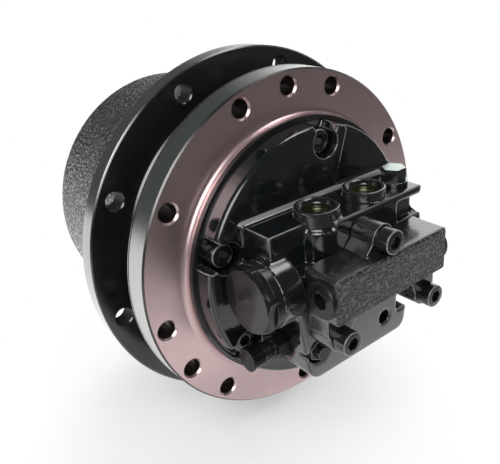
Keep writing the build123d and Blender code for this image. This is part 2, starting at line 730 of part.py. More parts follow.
def first_carrier():
    """Three-armed plate that carries the first planets and turns the second sun."""
    place = Plane(origin=(0, FIRST_CARRIER_START, 0), x_dir=(1, 0, 0), z_dir=(0, 1, 0))
    arm = Pos(FIRST_CIRCLE / 2, 0) * Rectangle(FIRST_CIRCLE, 2 * FIRST_ARM)
    arm += Pos(FIRST_CIRCLE, 0) * Circle(FIRST_ARM)
    outline = Circle(SUN_STEM + FIRST_PIN)
    for planet in range(PLANETS):
        outline += Rot(0, 0, 360 / PLANETS * planet) * arm
    plate = extrude(place * (outline - Circle(SUN_STEM + SEATED)), FIRST_CARRIER_THICK)
    hole = bar_at(FIRST_PIN + SEATED, FIRST_CIRCLE, 0, FIRST_CARRIER_START, FIRST_CARRIER_END)
    return plate - spread(hole, PLANETS)


def first_planet_pins():
    """Three steel pins that turn with the first carrier."""
    return spread(bar_at(FIRST_PIN, FIRST_CIRCLE, 0, FIRST_CARRIER_START, SHAFT_END), PLANETS)


# Motor rotating group

def motor_shaft():
    """Shaft from the rear bearing to the first sun."""
    return turned(
        (0, COVER_SEAT - REAR_BEARING_LENGTH),
        (SHAFT_TAIL, COVER_SEAT - REAR_BEARING_LENGTH),
        (SHAFT_TAIL, COVER_SEAT),
        (SHAFT, COVER_SEAT + VALVE_PLATE),
        (SHAFT, FIRST_START),
        (SHAFT_TIP, FIRST_START),
        (SHAFT_TIP, SHAFT_END),
        (0, SHAFT_END),
    )


def first_sun():
    return gear(FIRST_SUN_TEETH, SHAFT_TIP + SEATED, FIRST_START, FIRST_WIDTH, pi / FIRST_SUN_TEETH)


def cylinder_block():
    """Steel barrel with one bore for each piston."""
    barrel = tube(BLOCK_RADIUS, SHAFT + SEATED, BLOCK_START, BLOCK_END)
    floor = BLOCK_START + PISTON_BORE_FLOOR
    bore = rod(PISTON + SEATED, (PISTON_CIRCLE, floor, 0), (PISTON_CIRCLE, BLOCK_END, 0))
    return barrel - spread(bore, PISTONS)


def pistons():
    """Nine pistons at the middle of their stroke, each with the neck that its shoe holds."""
    start = BLOCK_START + BLOCK_LENGTH / 3
    piston = rod(PISTON, (PISTON_CIRCLE, start, 0), (PISTON_CIRCLE, SHOE_START, 0))
    neck = rod(SHOE_NECK, (PISTON_CIRCLE, SHOE_START, 0), (PISTON_CIRCLE, SHOE_FLANGE, 0))
    return spread(piston + neck, PISTONS)


def piston_shoes():
    """Bronze shoes between the pistons and the swash plate."""
    neck_start = (PISTON_CIRCLE, SHOE_START, 0)
    neck_end = (PISTON_CIRCLE, SHOE_FLANGE, 0)
    stem = rod(SHOE_COLLAR, neck_start, neck_end) - rod(SHOE_NECK + SEATED, neck_start, neck_end)
    foot = rod(SHOE_RADIUS, neck_end, (PISTON_CIRCLE, SHOE_FLANGE + SHOE_FOOT, 0))
    return spread(stem + foot, PISTONS)


def shoe_retainer():
    """Plate that holds the shoes down on the swash plate."""
    plate = tube(PISTON_CIRCLE + RETAINER_RIM, SHAFT + SEATED, RETAINER_START, SHOE_FLANGE - SEATED)
    hole = rod(SHOE_COLLAR + SEATED, (PISTON_CIRCLE, RETAINER_START, 0), (PISTON_CIRCLE, SHOE_FLANGE, 0))
    return plate - spread(hole, PISTONS)


def brake_discs():
    """Friction discs splined on the cylinder block."""
    discs = []
    for disc in range(BRAKE_DISCS):
        start = BRAKE_START + BRAKE_PLATE + FACE_GAP + disc * BRAKE_PITCH
        discs.append(tube(CAVITY_STEP - EDGE, BLOCK_RADIUS + SEATED, start, start + BRAKE_DISC))
    return discs


# Fixed motor pieces

def brake_plates():
    """Steel plates held by the spindle between the friction discs."""
    plates = []
    for plate in range(BRAKE_DISCS + 1):
        start = BRAKE_START + plate * BRAKE_PITCH
        plates.append(tube(CAVITY - SEATED, BRAKE_INNER, start, start + BRAKE_PLATE))
    return plates


def brake_piston():
    """Ring that the brake springs press on the plates and oil pressure draws back."""
    start = COVER_SEAT + BRAKE_SPRING
    return tube(CAVITY - RUNNING, BRAKE_INNER, start, start + BRAKE_PISTON)


def brake_spring():
    """Coned disc spring behind the brake piston."""
    inner = BRAKE_INNER + EDGE
    outer = CAVITY - EDGE
    high = COVER_SEAT + BRAKE_SPRING - BRAKE_SPRING_REST
    low = COVER_SEAT + BRAKE_SPRING_REST
    return turned(
        (inner, high - BRAKE_SPRING_STOCK),
        (inner, high),
        (outer, low + BRAKE_SPRING_STOCK),
        (outer, low),
    )


def valve_plate():
    """Bronze plate with two kidney ports between the cover and the cylinder block."""
    plate = tube(BLOCK_RADIUS, SHAFT_BORE, COVER_SEAT, COVER_SEAT + VALVE_PLATE)
    place = Plane(origin=(0, COVER_SEAT, 0), x_dir=(1, 0, 0), z_dir=(0, 1, 0))
    band = Circle(PISTON_CIRCLE + KIDNEY_HALF) - Circle(PISTON_CIRCLE - KIDNEY_HALF)
    kidneys = band - Rectangle(2 * BLOCK_RADIUS, KIDNEY_BRIDGE)
    return plate - extrude(place * kidneys, VALVE_PLATE)


def swash_plate():
    """Cam plate that the shoes run on, with a half-round back in the spindle's saddle."""
    plate = rod(SWASH_RADIUS, (0, SWASH_FACE, 0), (0, SWASH_FACE + SWASH_THICK, 0))
    back = rod(CRADLE, (-SWASH_RADIUS, SWASH_FACE, 0), (SWASH_RADIUS, SWASH_FACE, 0))
    back &= rod(SWASH_RADIUS, (0, SWASH_FACE, 0), (0, SWASH_FACE + CRADLE, 0))
    return plate + back - rod(SWASH_BORE, (0, SWASH_FACE, 0), (0, SWASH_FACE + CRADLE, 0))


def rear_shaft_bearing():
    return tube(REAR_BEARING - SEATED, SHAFT_TAIL + RUNNING, COVER_SEAT - REAR_BEARING_LENGTH, COVER_SEAT)


def front_shaft_bearing():
    return tube(SHAFT_BEARING - SEATED, SHAFT + RUNNING, SHAFT_BEARING_START, SHAFT_BEARING_END)


def shaft_seal():
    """Lip seal that keeps motor oil and gear oil apart."""
    return tube(SHAFT_BEARING - SEATED, SHAFT + RUNNING, SHAFT_BEARING_END, SPINDLE_END - SEATED)


# Motor cover and its valves

def casing_outline():
    """Outline of the casing seen from the motor end: wide port platform and rounded foot."""
    waist = SPOOL_Z - CASING_SHOULDER
    shoulder = SPOOL_Z + CASING_SHOULDER
    shape = Polygon(
        (PLATFORM_LEFT, PLATFORM_TOP),
        (PLATFORM_RIGHT, PLATFORM_TOP),
        (PLATFORM_RIGHT, shoulder),
        (CASING_FOOT_HALF + CASING_FLARE, waist),
        (CASING_FOOT_HALF, CASING_FOOT),
        (-CASING_FOOT_HALF, CASING_FOOT),
        (-CASING_FOOT_HALF - CASING_FLARE, waist),
        (PLATFORM_LEFT, shoulder),
        align=None,
    )
    return fillet(shape.vertices().group_by(Axis.Y)[0], CASING_ROUND)


def cover_disc():
    """Bolted disc of the motor cover, with scalloped screw pockets and a stepped upper right face."""
    rim = COVER_RADIUS - COVER_TAPER
    disc = turned(
        (0, COVER_SEAT),
        (COVER_RADIUS, COVER_SEAT),
        (COVER_RADIUS, -SPIGOT_LENGTH),
        (rim, COVER_FRONT + COVER_EDGE),
        (rim - COVER_EDGE, COVER_FRONT),
        (0, COVER_FRONT),
    )
    step = Polygon(
        (COVER_STEP_FOOT, PLATFORM_TOP),
        (COVER_STEP_HEAD, COVER_RADIUS),
        (COVER_RADIUS, COVER_RADIUS),
        (COVER_RADIUS, PLATFORM_TOP),
        align=None,
    )
    disc -= pushed(step, COVER_FRONT + COVER_STEP, COVER_FRONT)
    for angle in COVER_SCREW_ANGLES:
        for circle in (COVER_SCREW_CIRCLE, COVER_RADIUS):
            disc -= bar_at(COVER_POCKET, circle, angle, COVER_POCKET_FLOOR, COVER_FRONT)
        disc -= bar_at(SCREW + SEATED, COVER_SCREW_CIRCLE, angle, COVER_SEAT, COVER_FRONT)
    return disc


def block_between(low, high):
    """A box between two opposite corners."""
    size = Vector(*high) - Vector(*low)
    return Pos(*low) * Box(size.X, size.Y, size.Z, align=Align.MIN)


def casing():
    """Casing in front of the disc: sloped platform edge, left notch, port column and waisted right end."""
    body = pushed(casing_outline(), COVER_FRONT + CASING_SUNK, CASING_FRONT)
    front = body.faces().sort_by(Axis.Y)[0].edges().sort_by(Axis.Z)
    body = fillet(front[:-1], CASING_EDGE)
    slope = Plane.YZ.offset(PLATFORM_LEFT) * Polygon(
        (CASING_FRONT, PLATFORM_TOP - PLATFORM_SLOPE),
        (CASING_FRONT, PLATFORM_TOP),
        (CASING_FRONT + PLATFORM_SLOPE, PLATFORM_TOP),
        align=None,
    )
    body -= extrude(slope, PLATFORM_RIGHT - PLATFORM_LEFT)
    waist_x = PLATFORM_RIGHT + WAIST_OFFSET
    waist_z = PLATFORM_TOP - WAIST_DROP
    body -= rod(WAIST_RADIUS, (waist_x, CASING_FRONT, waist_z), (waist_x, COVER_FRONT, waist_z))
    body -= block_between(
        (PLATFORM_RIGHT - RECESS_WIDTH, CASING_FRONT, PLATFORM_TOP - RECESS_DROP),
        (PLATFORM_RIGHT, CASING_FRONT + RECESS_DEPTH, PLATFORM_TOP - PLATFORM_SLOPE),
    )
    body -= block_between(
        (PLATFORM_LEFT, CASING_FRONT, SPOOL_Z + SPOOL_BOSS / 2),
        (-PORT_X, CASING_FRONT + NOTCH_DEPTH, PLATFORM_TOP),
    )
    body += rod(PORT_COLUMN, (-PORT_X, PORT_Y, SPOOL_Z), (-PORT_X, PORT_Y, PLATFORM_TOP - PLATFORM_SLOPE))
    boss_left = BLOCK_LEFT - PLUG_PROUD - FACE_GAP
    boss_right = BLOCK_RIGHT + PLUG_PROUD + FACE_GAP
    body += rod(SPOOL_BOSS, (-SPOOL_BOSS_END, SPOOL_Y, SPOOL_Z), (boss_left, SPOOL_Y, SPOOL_Z))
    body += rod(SPOOL_BOSS, (boss_right, SPOOL_Y, SPOOL_Z), (SPOOL_RIGHT_END, SPOOL_Y, SPOOL_Z))
    body -= block_between(
        (CASING_FOOT_HALF - FOOT_NOTCH, CASING_FRONT, CASING_FOOT + FOOT_HEIGHT),
        (PLATFORM_RIGHT, CASING_FRONT + FOOT_NOTCH_DEPTH, CASING_FOOT + FOOT_HEIGHT + FOOT_NOTCH_HEIGHT),
    )
    ridge_end = (PLATFORM_LEFT, COVER_FRONT, PLATFORM_TOP)
    body += rod(RIDGE, ridge_end, (PLATFORM_RIGHT, COVER_FRONT, PLATFORM_TOP))
    body += Pos(*ridge_end) * Sphere(RIDGE)
    pocket_floor = (FITTING_X, CASING_FRONT + FITTING_POCKET_DEPTH, FITTING_Z)
    body -= rod(FITTING_POCKET, (FITTING_X, CASING_FRONT, FITTING_Z), pocket_floor)
    spot_end = (PLATFORM_LEFT, ADAPTER_Y, ADAPTER_Z)
    return body - rod(ADAPTER_SPOT, (ADAPTER_SEAT, ADAPTER_Y, ADAPTER_Z), spot_end)


def motor_cover():
    """Cast rear cover: bolted disc, casing, port bosses and every bore in them."""
    cover = cover_disc() + casing()
    depth = PORT_MOUTH - PORT_RADIUS
    mouth = Cone(PORT_RADIUS, PORT_MOUTH, depth, align=(Align.CENTER, Align.CENTER, Align.MAX))
    for x in (-PORT_X, PORT_X):
        cover += rod(PORT_BOSS, (x, PORT_Y, SPOOL_Z), (x, PORT_Y, PORT_RIM))
    for x in (-PORT_X, PORT_X):
        cover -= rod(PORT_RADIUS, (x, PORT_Y, PORT_FLOOR), (x, PORT_Y, PORT_RIM))
        cover -= rod(PORT_DRILLING, (x, PORT_Y, SPOOL_Z), (x, PORT_Y, PORT_FLOOR))
        cover -= Pos(x, PORT_Y, PORT_RIM) * mouth
    cover -= rod(SPOOL + RUNNING, (-SPOOL_BOSS_END, SPOOL_Y, SPOOL_Z), (SPOOL_RIGHT_END, SPOOL_Y, SPOOL_Z))
    for outside, inside in ((-SPOOL_BOSS_END, -SPOOL_REACH), (SPOOL_RIGHT_END, SPOOL_REACH)):
        cover -= rod(CAP_THREAD + SEATED, (outside, SPOOL_Y, SPOOL_Z), (inside, SPOOL_Y, SPOOL_Z))
    cover -= rod(REAR_BEARING, (0, COVER_SEAT, 0), (0, COVER_SEAT - REAR_BEARING_LENGTH, 0))
    gauge_end = (GAUGE_X, CASING_FRONT + GAUGE_DEPTH, GAUGE_Z)
    cover -= rod(GAUGE_RADIUS, (GAUGE_X, CASING_FRONT, GAUGE_Z), gauge_end)
    for x, z in BLOCK_SCREWS:
        cover -= rod(SCREW + SEATED, (x, CASING_FRONT, z), (x, CASING_FRONT + SCREW_GRIP, z))
    return cover


def cover_screws():
    """Cap screws that hold the motor cover on the spindle."""
    grip = COVER_SCREW_END - COVER_POCKET_FLOOR - FACE_GAP
    screws = []
    for angle in COVER_SCREW_ANGLES:
        x, _, z = polar(COVER_SCREW_CIRCLE, angle, 0)
        screws.append(cap_screw(x, z, COVER_POCKET_FLOOR, grip))
    return screws


def valve_block():
    """Cast block with the speed spool's bore and three screw lugs."""
    width = BLOCK_RIGHT - BLOCK_LEFT
    height = BLOCK_TOP - BLOCK_FOOT
    middle = Pos((BLOCK_LEFT + BLOCK_RIGHT) / 2, (BLOCK_TOP + BLOCK_FOOT) / 2)
    bar = pushed(middle * RectangleRounded(width, height, BLOCK_ROUND), CASING_FRONT, BLOCK_FRONT)
    block = chamfer(bar.faces().sort_by(Axis.Y)[0].edges(), BLOCK_EDGE)
    for x, z in BLOCK_SCREWS:
        foot = BLOCK_TOP if z > BLOCK_TOP else BLOCK_FOOT
        web = Polygon(
            (x - LUG_FOOT, foot), (x + LUG_FOOT, foot), (x + LUG_NECK, z), (x - LUG_NECK, z), align=None
        )
        web &= middle * Rectangle(width, 4 * height)
        block += pushed(web + Pos(x, z) * Circle(LUG_RADIUS), CASING_FRONT, LUG_FRONT)
    for x, z in BLOCK_SCREWS:
        block -= rod(SCREW + SEATED, (x, CASING_FRONT, z), (x, LUG_FRONT, z))
        block -= rod(SCREW_HEAD + FACE_GAP, (x, LUG_FRONT, z), (x, BLOCK_FRONT, z))
    left = (BLOCK_LEFT, SPEED_SPOOL_Y, SPEED_SPOOL_Z)
    right = (BLOCK_RIGHT, SPEED_SPOOL_Y, SPEED_SPOOL_Z)
    block -= rod(SPEED_SPOOL + RUNNING, left, right)
    block -= rod(PLUG_THREAD + SEATED, left, (BLOCK_LEFT + PLUG_DEPTH, SPEED_SPOOL_Y, SPEED_SPOOL_Z))
    block -= rod(PLUG_THREAD + SEATED, right, (BLOCK_RIGHT - PLUG_DEPTH, SPEED_SPOOL_Y, SPEED_SPOOL_Z))
    return block


def valve_block_screws():
    """Cap screws that hold the valve block on the casing."""
    grip = CASING_FRONT - LUG_FRONT + SCREW_GRIP - FACE_GAP
    return [cap_screw(x, z, LUG_FRONT, grip) for x, z in BLOCK_SCREWS]


def spool_caps():
    """Hexagon cap on the left end of the counterbalance spool's bore and socket plug in its right end."""
    seat = (-SPOOL_BOSS_END, SPOOL_Y, SPOOL_Z)
    collar = (-SPOOL_BOSS_END - CAP_COLLAR, SPOOL_Y, SPOOL_Z)
    end = (-SPOOL_BOSS_END - CAP_LENGTH, SPOOL_Y, SPOOL_Z)
    bar = rod(CAP_ROUND, seat, end)
    bar = chamfer(bar.edges().sort_by(Axis.X)[0], CAP_CHAMFER)
    head = bar & (hex_bar(CAP_FLATS, collar, end, CAP_TURN) + rod(CAP_ROUND, seat, collar))
    face = (SPOOL_RIGHT_END, SPOOL_Y, SPOOL_Z)
    socket_end = (SPOOL_RIGHT_END - SPOOL_PLUG_SOCKET, SPOOL_Y, SPOOL_Z)
    plug = rod(CAP_THREAD, (SPOOL_REACH, SPOOL_Y, SPOOL_Z), face)
    plug -= hex_bar(PLUG_SOCKET_FLATS, face, socket_end)
    return [head + rod(CAP_THREAD, (-SPOOL_REACH, SPOOL_Y, SPOOL_Z), seat), plug]


def grooved_spool(radius, half, y, z):
    """A valve spool along X with three lands."""
    spool = rod(radius, (-half, y, z), (half, y, z))
    for side in (-1, 1):
        start = (side * half / 4, y, z)
        end = (side * half * SPOOL_WAIST, y, z)
        spool -= rod(radius, start, end) - rod(radius * SPOOL_WAIST, start, end)
    return spool


def counterbalance_spool():
    return grooved_spool(SPOOL, SPOOL_HALF, SPOOL_Y, SPOOL_Z)


def speed_spool():
    return grooved_spool(SPEED_SPOOL, SPEED_SPOOL_HALF, SPEED_SPOOL_Y, SPEED_SPOOL_Z)


def spool_springs(radius, half, ends, y, z):
    """Two centring springs of a spool, drawn as sleeves of the coil's size."""
    springs = []
    for side, end in zip((-1, 1), ends):
        start = (side * (half + SEATED), y, z)
        stop = (end - side * SEATED, y, z)
        outer = radius - SPRING_PLAY
        springs.append(rod(outer, start, stop) - rod(outer - SPRING_WIRE, start, stop))
    return springs


def counterbalance_springs():
    return spool_springs(SPOOL, SPOOL_HALF, (-SPOOL_REACH, SPOOL_REACH), SPOOL_Y, SPOOL_Z)


def speed_springs():
    ends = (BLOCK_LEFT + PLUG_DEPTH, BLOCK_RIGHT - PLUG_DEPTH)
    return spool_springs(SPEED_SPOOL, SPEED_SPOOL_HALF, ends, SPEED_SPOOL_Y, SPEED_SPOOL_Z)


def block_plugs():
    """Socket plugs at both ends of the valve block, with coned flanges."""
    plugs = []
    for end, side in ((BLOCK_LEFT, -1), (BLOCK_RIGHT, 1)):
        seat = (end, SPEED_SPOOL_Y, SPEED_SPOOL_Z)
        proud = (end + side * PLUG_PROUD, SPEED_SPOOL_Y, SPEED_SPOOL_Z)
        inside = (end - side * PLUG_DEPTH, SPEED_SPOOL_Y, SPEED_SPOOL_Z)
        socket_end = (end + side * (PLUG_PROUD - PLUG_SOCKET_DEPTH), SPEED_SPOOL_Y, SPEED_SPOOL_Z)
        flange = rod(PLUG_FLANGE, seat, proud)
        flange = chamfer(flange.edges().sort_by(Axis.X)[-1 if side > 0 else 0], PLUG_CONE)
        plug = flange + rod(PLUG_THREAD, inside, seat)
        plugs.append(plug - hex_bar(PLUG_SOCKET_FLATS, proud, socket_end))
    return plugs


def pilot_plug():
    """Hexagon plug with a collar on the port platform."""
    seat = (PILOT_X, PORT_Y, PLATFORM_TOP)
    collar = (PILOT_X, PORT_Y, PLATFORM_TOP + PILOT_COLLAR)
    top = (PILOT_X, PORT_Y, PLATFORM_TOP + PILOT_HEIGHT)
    return rod(PILOT_FLANGE, seat, collar) + hex_bar(PILOT_FLATS, collar, top)


def drain_adapter():
    """Threaded adapter of the case drain, on a spot face of the casing's left side."""
    start = (ADAPTER_SEAT, ADAPTER_Y, ADAPTER_Z)
    shoulder = (ADAPTER_SEAT - ADAPTER_HEX, ADAPTER_Y, ADAPTER_Z)
    end = (ADAPTER_SEAT - ADAPTER_LENGTH + CAP_FACE, ADAPTER_Y, ADAPTER_Z)
    adapter = hex_bar(ADAPTER_FLATS, start, shoulder) + rod(ADAPTER_TUBE, shoulder, end)
    return adapter - rod(ADAPTER_BORE, start, end)


def drain_cap():
    """Plastic cap over the adapter's thread, with a flared rim."""
    end = ADAPTER_SEAT - ADAPTER_LENGTH
    outside = (end, ADAPTER_Y, ADAPTER_Z)
    face = (end + CAP_FACE, ADAPTER_Y, ADAPTER_Z)
    skirt = (end + CAP_FACE + CAP_SKIRT, ADAPTER_Y, ADAPTER_Z)
    sleeve = rod(ADAPTER_TUBE + SEATED + CAP_WALL, face, skirt) - rod(ADAPTER_TUBE + SEATED, face, skirt)
    return sleeve + rod(CAP_RIM, face, outside)


def pilot_adapter():
    """Hexagon fitting in a round pocket low on the casing's front."""
    floor = CASING_FRONT + FITTING_POCKET_DEPTH
    seat = (FITTING_X, floor, FITTING_Z)
    shoulder = (FITTING_X, floor - FITTING_HEX, FITTING_Z)
    tip = (FITTING_X, floor - FITTING_LENGTH, FITTING_Z)
    return hex_bar(FITTING_FLATS, seat, shoulder) + rod(FITTING_TIP, shoulder, tip)


def export(name, shape):
    """Write one node, with each of its solids apart."""
    solids = shape if isinstance(shape, list) else [shape]
    apart = [solid for piece in solids for solid in piece.solids()]
    export_step(Compound(children=apart), f"parts/{name}.step")


os.makedirs("parts", exist_ok=True)
NODES = {
    "spindle": spindle(),
    "second_carrier": second_carrier(),
    "second_planet_pins": second_planet_pins(),
    "main_bearing_inner_rings": main_bearing_inner_rings(),
    "bearing_spacer": bearing_spacer(),
    "lock_nut": lock_nut(),
    "fixed_seal_ring": seal_ring(SEAL_DEPTH + FACE_GAP, SEAL_FACE - SEATED),
    "fixed_seal_o_ring": seal_o_ring((SEAL_DEPTH + FRAME_THICK) / 2),
    "motor_cover": motor_cover(),
    "cover_screws": cover_screws(),
    "valve_block": valve_block(),
    "valve_block_screws": valve_block_screws(),
    "spool_caps": spool_caps(),
    "block_plugs": block_plugs(),
    "pilot_plug": pilot_plug(),
    "drain_adapter": drain_adapter(),
    "drain_cap": drain_cap(),
    "pilot_adapter": pilot_adapter(),
    "swash_plate": swash_plate(),
    "valve_plate": valve_plate(),
    "brake_plates": brake_plates(),
    "rear_shaft_bearing": rear_shaft_bearing(),
    "front_shaft_bearing": front_shaft_bearing(),
    "shaft_seal": shaft_seal(),
    "hub_drum": hub_drum(),
    "ring_gear": ring_gear(),
    "end_cover": end_cover(),
    "snap_ring": snap_ring(),
    "oil_plugs": oil_plugs(),
    "thrust_pad": thrust_pad(),
    "main_bearing_outer_rings": main_bearing_outer_rings(),
    "rotating_seal_ring": seal_ring(SEAL_FACE + SEATED, HUB_START + SEAL_DEPTH - FACE_GAP),
    "rotating_seal_o_ring": seal_o_ring(HUB_START + SEAL_DEPTH / 2),
    "main_bearing_rollers": main_bearing_rollers(),
    "first_carrier": first_carrier(),
    "second_sun": second_sun(),
    "first_planet_pins": first_planet_pins(),
    "motor_shaft": motor_shaft(),
    "first_sun": first_sun(),
    "cylinder_block": cylinder_block(),
    "pistons": pistons(),
    "piston_shoes": piston_shoes(),
    "shoe_retainer": shoe_retainer(),
    "brake_discs": brake_discs(),
    "brake_piston": brake_piston(),
    "brake_spring": brake_spring(),
    "counterbalance_spool": counterbalance_spool(),
    "counterbalance_springs": counterbalance_springs(),
    "speed_spool": speed_spool(),
    "speed_springs": speed_springs(),
}
for planet in range(PLANETS):
    turn = 360 / PLANETS * planet
    NODES[f"second_planet_{planet + 1}"] = second_planet().rotate(Axis.Y, turn)
    NODES[f"first_planet_{planet + 1}"] = first_planet().rotate(Axis.Y, turn)
for name, shape in NODES.items():
    export(name, shape)
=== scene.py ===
import json
from math import cos, pi, radians, sin

import bmesh
import bpy
import numpy as np
from mathutils import Matrix, Vector


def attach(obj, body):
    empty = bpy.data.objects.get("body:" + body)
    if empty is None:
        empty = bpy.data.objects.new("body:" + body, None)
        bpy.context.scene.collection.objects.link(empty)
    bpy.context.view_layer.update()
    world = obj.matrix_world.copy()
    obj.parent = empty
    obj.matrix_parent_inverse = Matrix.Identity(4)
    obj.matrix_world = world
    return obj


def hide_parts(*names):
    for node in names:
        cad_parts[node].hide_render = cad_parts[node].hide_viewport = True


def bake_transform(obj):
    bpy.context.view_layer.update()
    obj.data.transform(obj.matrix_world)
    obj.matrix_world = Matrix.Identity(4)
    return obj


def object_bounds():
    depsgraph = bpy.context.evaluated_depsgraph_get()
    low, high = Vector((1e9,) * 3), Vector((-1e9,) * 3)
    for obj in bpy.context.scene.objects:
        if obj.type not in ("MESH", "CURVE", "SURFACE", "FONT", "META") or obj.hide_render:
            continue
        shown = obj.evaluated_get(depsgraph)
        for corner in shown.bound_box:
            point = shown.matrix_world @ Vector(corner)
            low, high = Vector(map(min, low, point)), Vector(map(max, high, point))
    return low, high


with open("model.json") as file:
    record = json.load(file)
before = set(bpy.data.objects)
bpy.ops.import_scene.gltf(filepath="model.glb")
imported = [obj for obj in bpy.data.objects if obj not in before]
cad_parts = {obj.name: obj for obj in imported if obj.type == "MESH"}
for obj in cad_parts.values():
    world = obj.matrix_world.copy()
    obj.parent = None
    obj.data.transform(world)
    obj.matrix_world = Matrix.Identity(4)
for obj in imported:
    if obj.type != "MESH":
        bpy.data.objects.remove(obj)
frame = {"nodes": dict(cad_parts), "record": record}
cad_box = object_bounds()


# Camera: stands above and to the left of the motor end and looks down on the ports.
# Its place, lens and lean come from fitting the two round flanges to the photograph.
def linked_piece(name, data):
    """A new object in the scene for a finished mesh, a lens or a lamp."""
    piece = bpy.data.objects.new(name, data)
    bpy.context.scene.collection.objects.link(piece)
    return piece


lens_azimuth, lens_elevation, lens_lean = radians(-40.03), radians(26.53), radians(-3.454)
lens_distance = 0.4517
backward = Vector((sin(lens_azimuth) * cos(lens_elevation), -cos(lens_azimuth) * cos(lens_elevation),
                   sin(lens_elevation)))
sideways = Vector((cos(lens_azimuth), sin(lens_azimuth), 0.0))
upward = backward.cross(sideways)
leaning_side = sideways * cos(lens_lean) + upward * sin(lens_lean)
leaning_up = upward * cos(lens_lean) - sideways * sin(lens_lean)
photo_lens = bpy.data.cameras.new("photo_lens")
photo_lens.sensor_fit = "HORIZONTAL"
photo_lens.sensor_width = 36.0
photo_lens.lens = 44.6
photo_lens.shift_x = -0.0956
photo_lens.shift_y = 0.0244
photo_camera = linked_piece("photo_camera", photo_lens)
lens_turn = Matrix((leaning_side, leaning_up, backward)).transposed().to_4x4()
photo_camera.matrix_world = Matrix.Translation(backward * lens_distance) @ lens_turn
bpy.context.scene.camera = photo_camera
bpy.context.scene.view_settings.view_transform = "Standard"


# Studio floor and light: a sheet of pale card under the drive, three soft boxes and a white room.
# The card fades to a darker room in front, which is what the dark glossy faces reflect.
def feed(node, inputs):
    """Sets a node's inputs; each is a plain value, another node's output, or a list of outputs."""
    for name, value in inputs.items():
        for source in value if isinstance(value, list) else [value]:
            if isinstance(source, bpy.types.NodeSocket):
                node.id_data.links.new(source, node.inputs[name])
            else:
                node.inputs[name].default_value = source


def place(tree, kind, inputs=None, **settings):
    """Adds a node to a tree with its settings and inputs, and gives its outputs."""
    node = tree.nodes.new(kind)
    for name, value in settings.items():
        setattr(node, name, value)
    feed(node, inputs or {})
    return node.outputs


def ramp(tree, value, points):
    """A colour ramp over a value, from (position, colour) points."""
    node = tree.nodes.new("ShaderNodeValToRGB")
    while len(node.color_ramp.elements) < len(points):
        node.color_ramp.elements.new(0.5)
    for element, (position, colour) in zip(node.color_ramp.elements, points):
        element.position = position
        element.color = (*colour, 1.0)
    feed(node, {"Fac": value})
    return node.outputs["Color"]


def step_up(tree, value, start, end):
    """A mask that rises from 0 to 1 between two values."""
    return place(tree, "ShaderNodeMapRange", {"Value": value, "From Min": start, "From Max": end})["Result"]


def maths(tree, operation, a, b=None):
    """A Math node; each side is a socket or a number."""
    sides = {0: a} if b is None else {0: a, 1: b}
    return place(tree, "ShaderNodeMath", sides, operation=operation)[0]


def blend_colours(tree, mask, first, second):
    """Mixes two colours, sockets or triples, by a mask. The Mix node has them at 6 and 7, and puts out at 2."""
    first, second = ((*colour, 1.0) if isinstance(colour, tuple) else colour for colour in (first, second))
    return place(tree, "ShaderNodeMix", {0: mask, 6: first, 7: second}, data_type="RGBA")[2]


def blend_shaders(tree, mask, first, second):
    """Mixes two shaders by a mask."""
    return place(tree, "ShaderNodeMixShader", {0: mask, 1: first, 2: second})[0]


white = (1.0, 1.0, 1.0, 1.0)
card_half, card_gap = 4.0, 0.0003
floor_height = cad_box[0][2] - card_gap
card_corners = [(x * card_half, y * card_half, floor_height) for x, y in ((-1, -1), (1, -1), (1, 1), (-1, 1))]
floor_mesh = bpy.data.meshes.new("studio_card")
floor_mesh.from_pydata(card_corners, [], [(0, 1, 2, 3)])
floor = linked_piece("studio_card", floor_mesh)
card = bpy.data.materials.new("pale_card")
card.use_nodes = True
card_tree = card.node_tree
card_tree.nodes.clear()
card_rays = place(card_tree, "ShaderNodeLightPath")
card_place = place(card_tree, "ShaderNodeTexCoord")["Object"]
card_axes = place(card_tree, "ShaderNodeSeparateXYZ", {0: card_place})
card_paper = place(card_tree, "ShaderNodeBsdfDiffuse", {"Color": (0.86, 0.86, 0.86, 1.0)})[0]
card_lift = place(card_tree, "ShaderNodeEmission", {"Color": white, "Strength": 0.3})[0]
card_lit = place(card_tree, "ShaderNodeAddShader", {0: card_paper, 1: card_lift})[0]
card_white = place(card_tree, "ShaderNodeEmission", {"Color": white, "Strength": 1.0})[0]
under_drive = (-0.09, 0.06, floor_height)
card_spread = place(card_tree, "ShaderNodeVectorMath", {0: card_place, 1: under_drive}, operation="DISTANCE")["Value"]
card_seen = blend_shaders(card_tree, step_up(card_tree, card_spread, 0.08, 0.22), card_lit, card_white)
card_bands = ramp(card_tree, step_up(card_tree, card_axes["Y"], -0.40, 0.20),
                  [(0.0, (0.06, 0.057, 0.057)), (0.167, (0.115, 0.110, 0.110)), (0.30, (0.36, 0.35, 0.35)),
                   (0.458, (0.66, 0.65, 0.65)), (0.583, (0.34, 0.335, 0.335)), (1.0, (1.0, 1.0, 1.0))])
card_mirrored = place(card_tree, "ShaderNodeEmission", {"Color": card_bands, "Strength": 1.7})[0]
card_shiny = blend_shaders(card_tree, card_rays["Is Glossy Ray"], card_paper, card_mirrored)
card_final = blend_shaders(card_tree, card_rays["Is Camera Ray"], card_shiny, card_seen)
place(card_tree, "ShaderNodeOutputMaterial", {"Surface": card_final})
floor_mesh.materials.append(card)

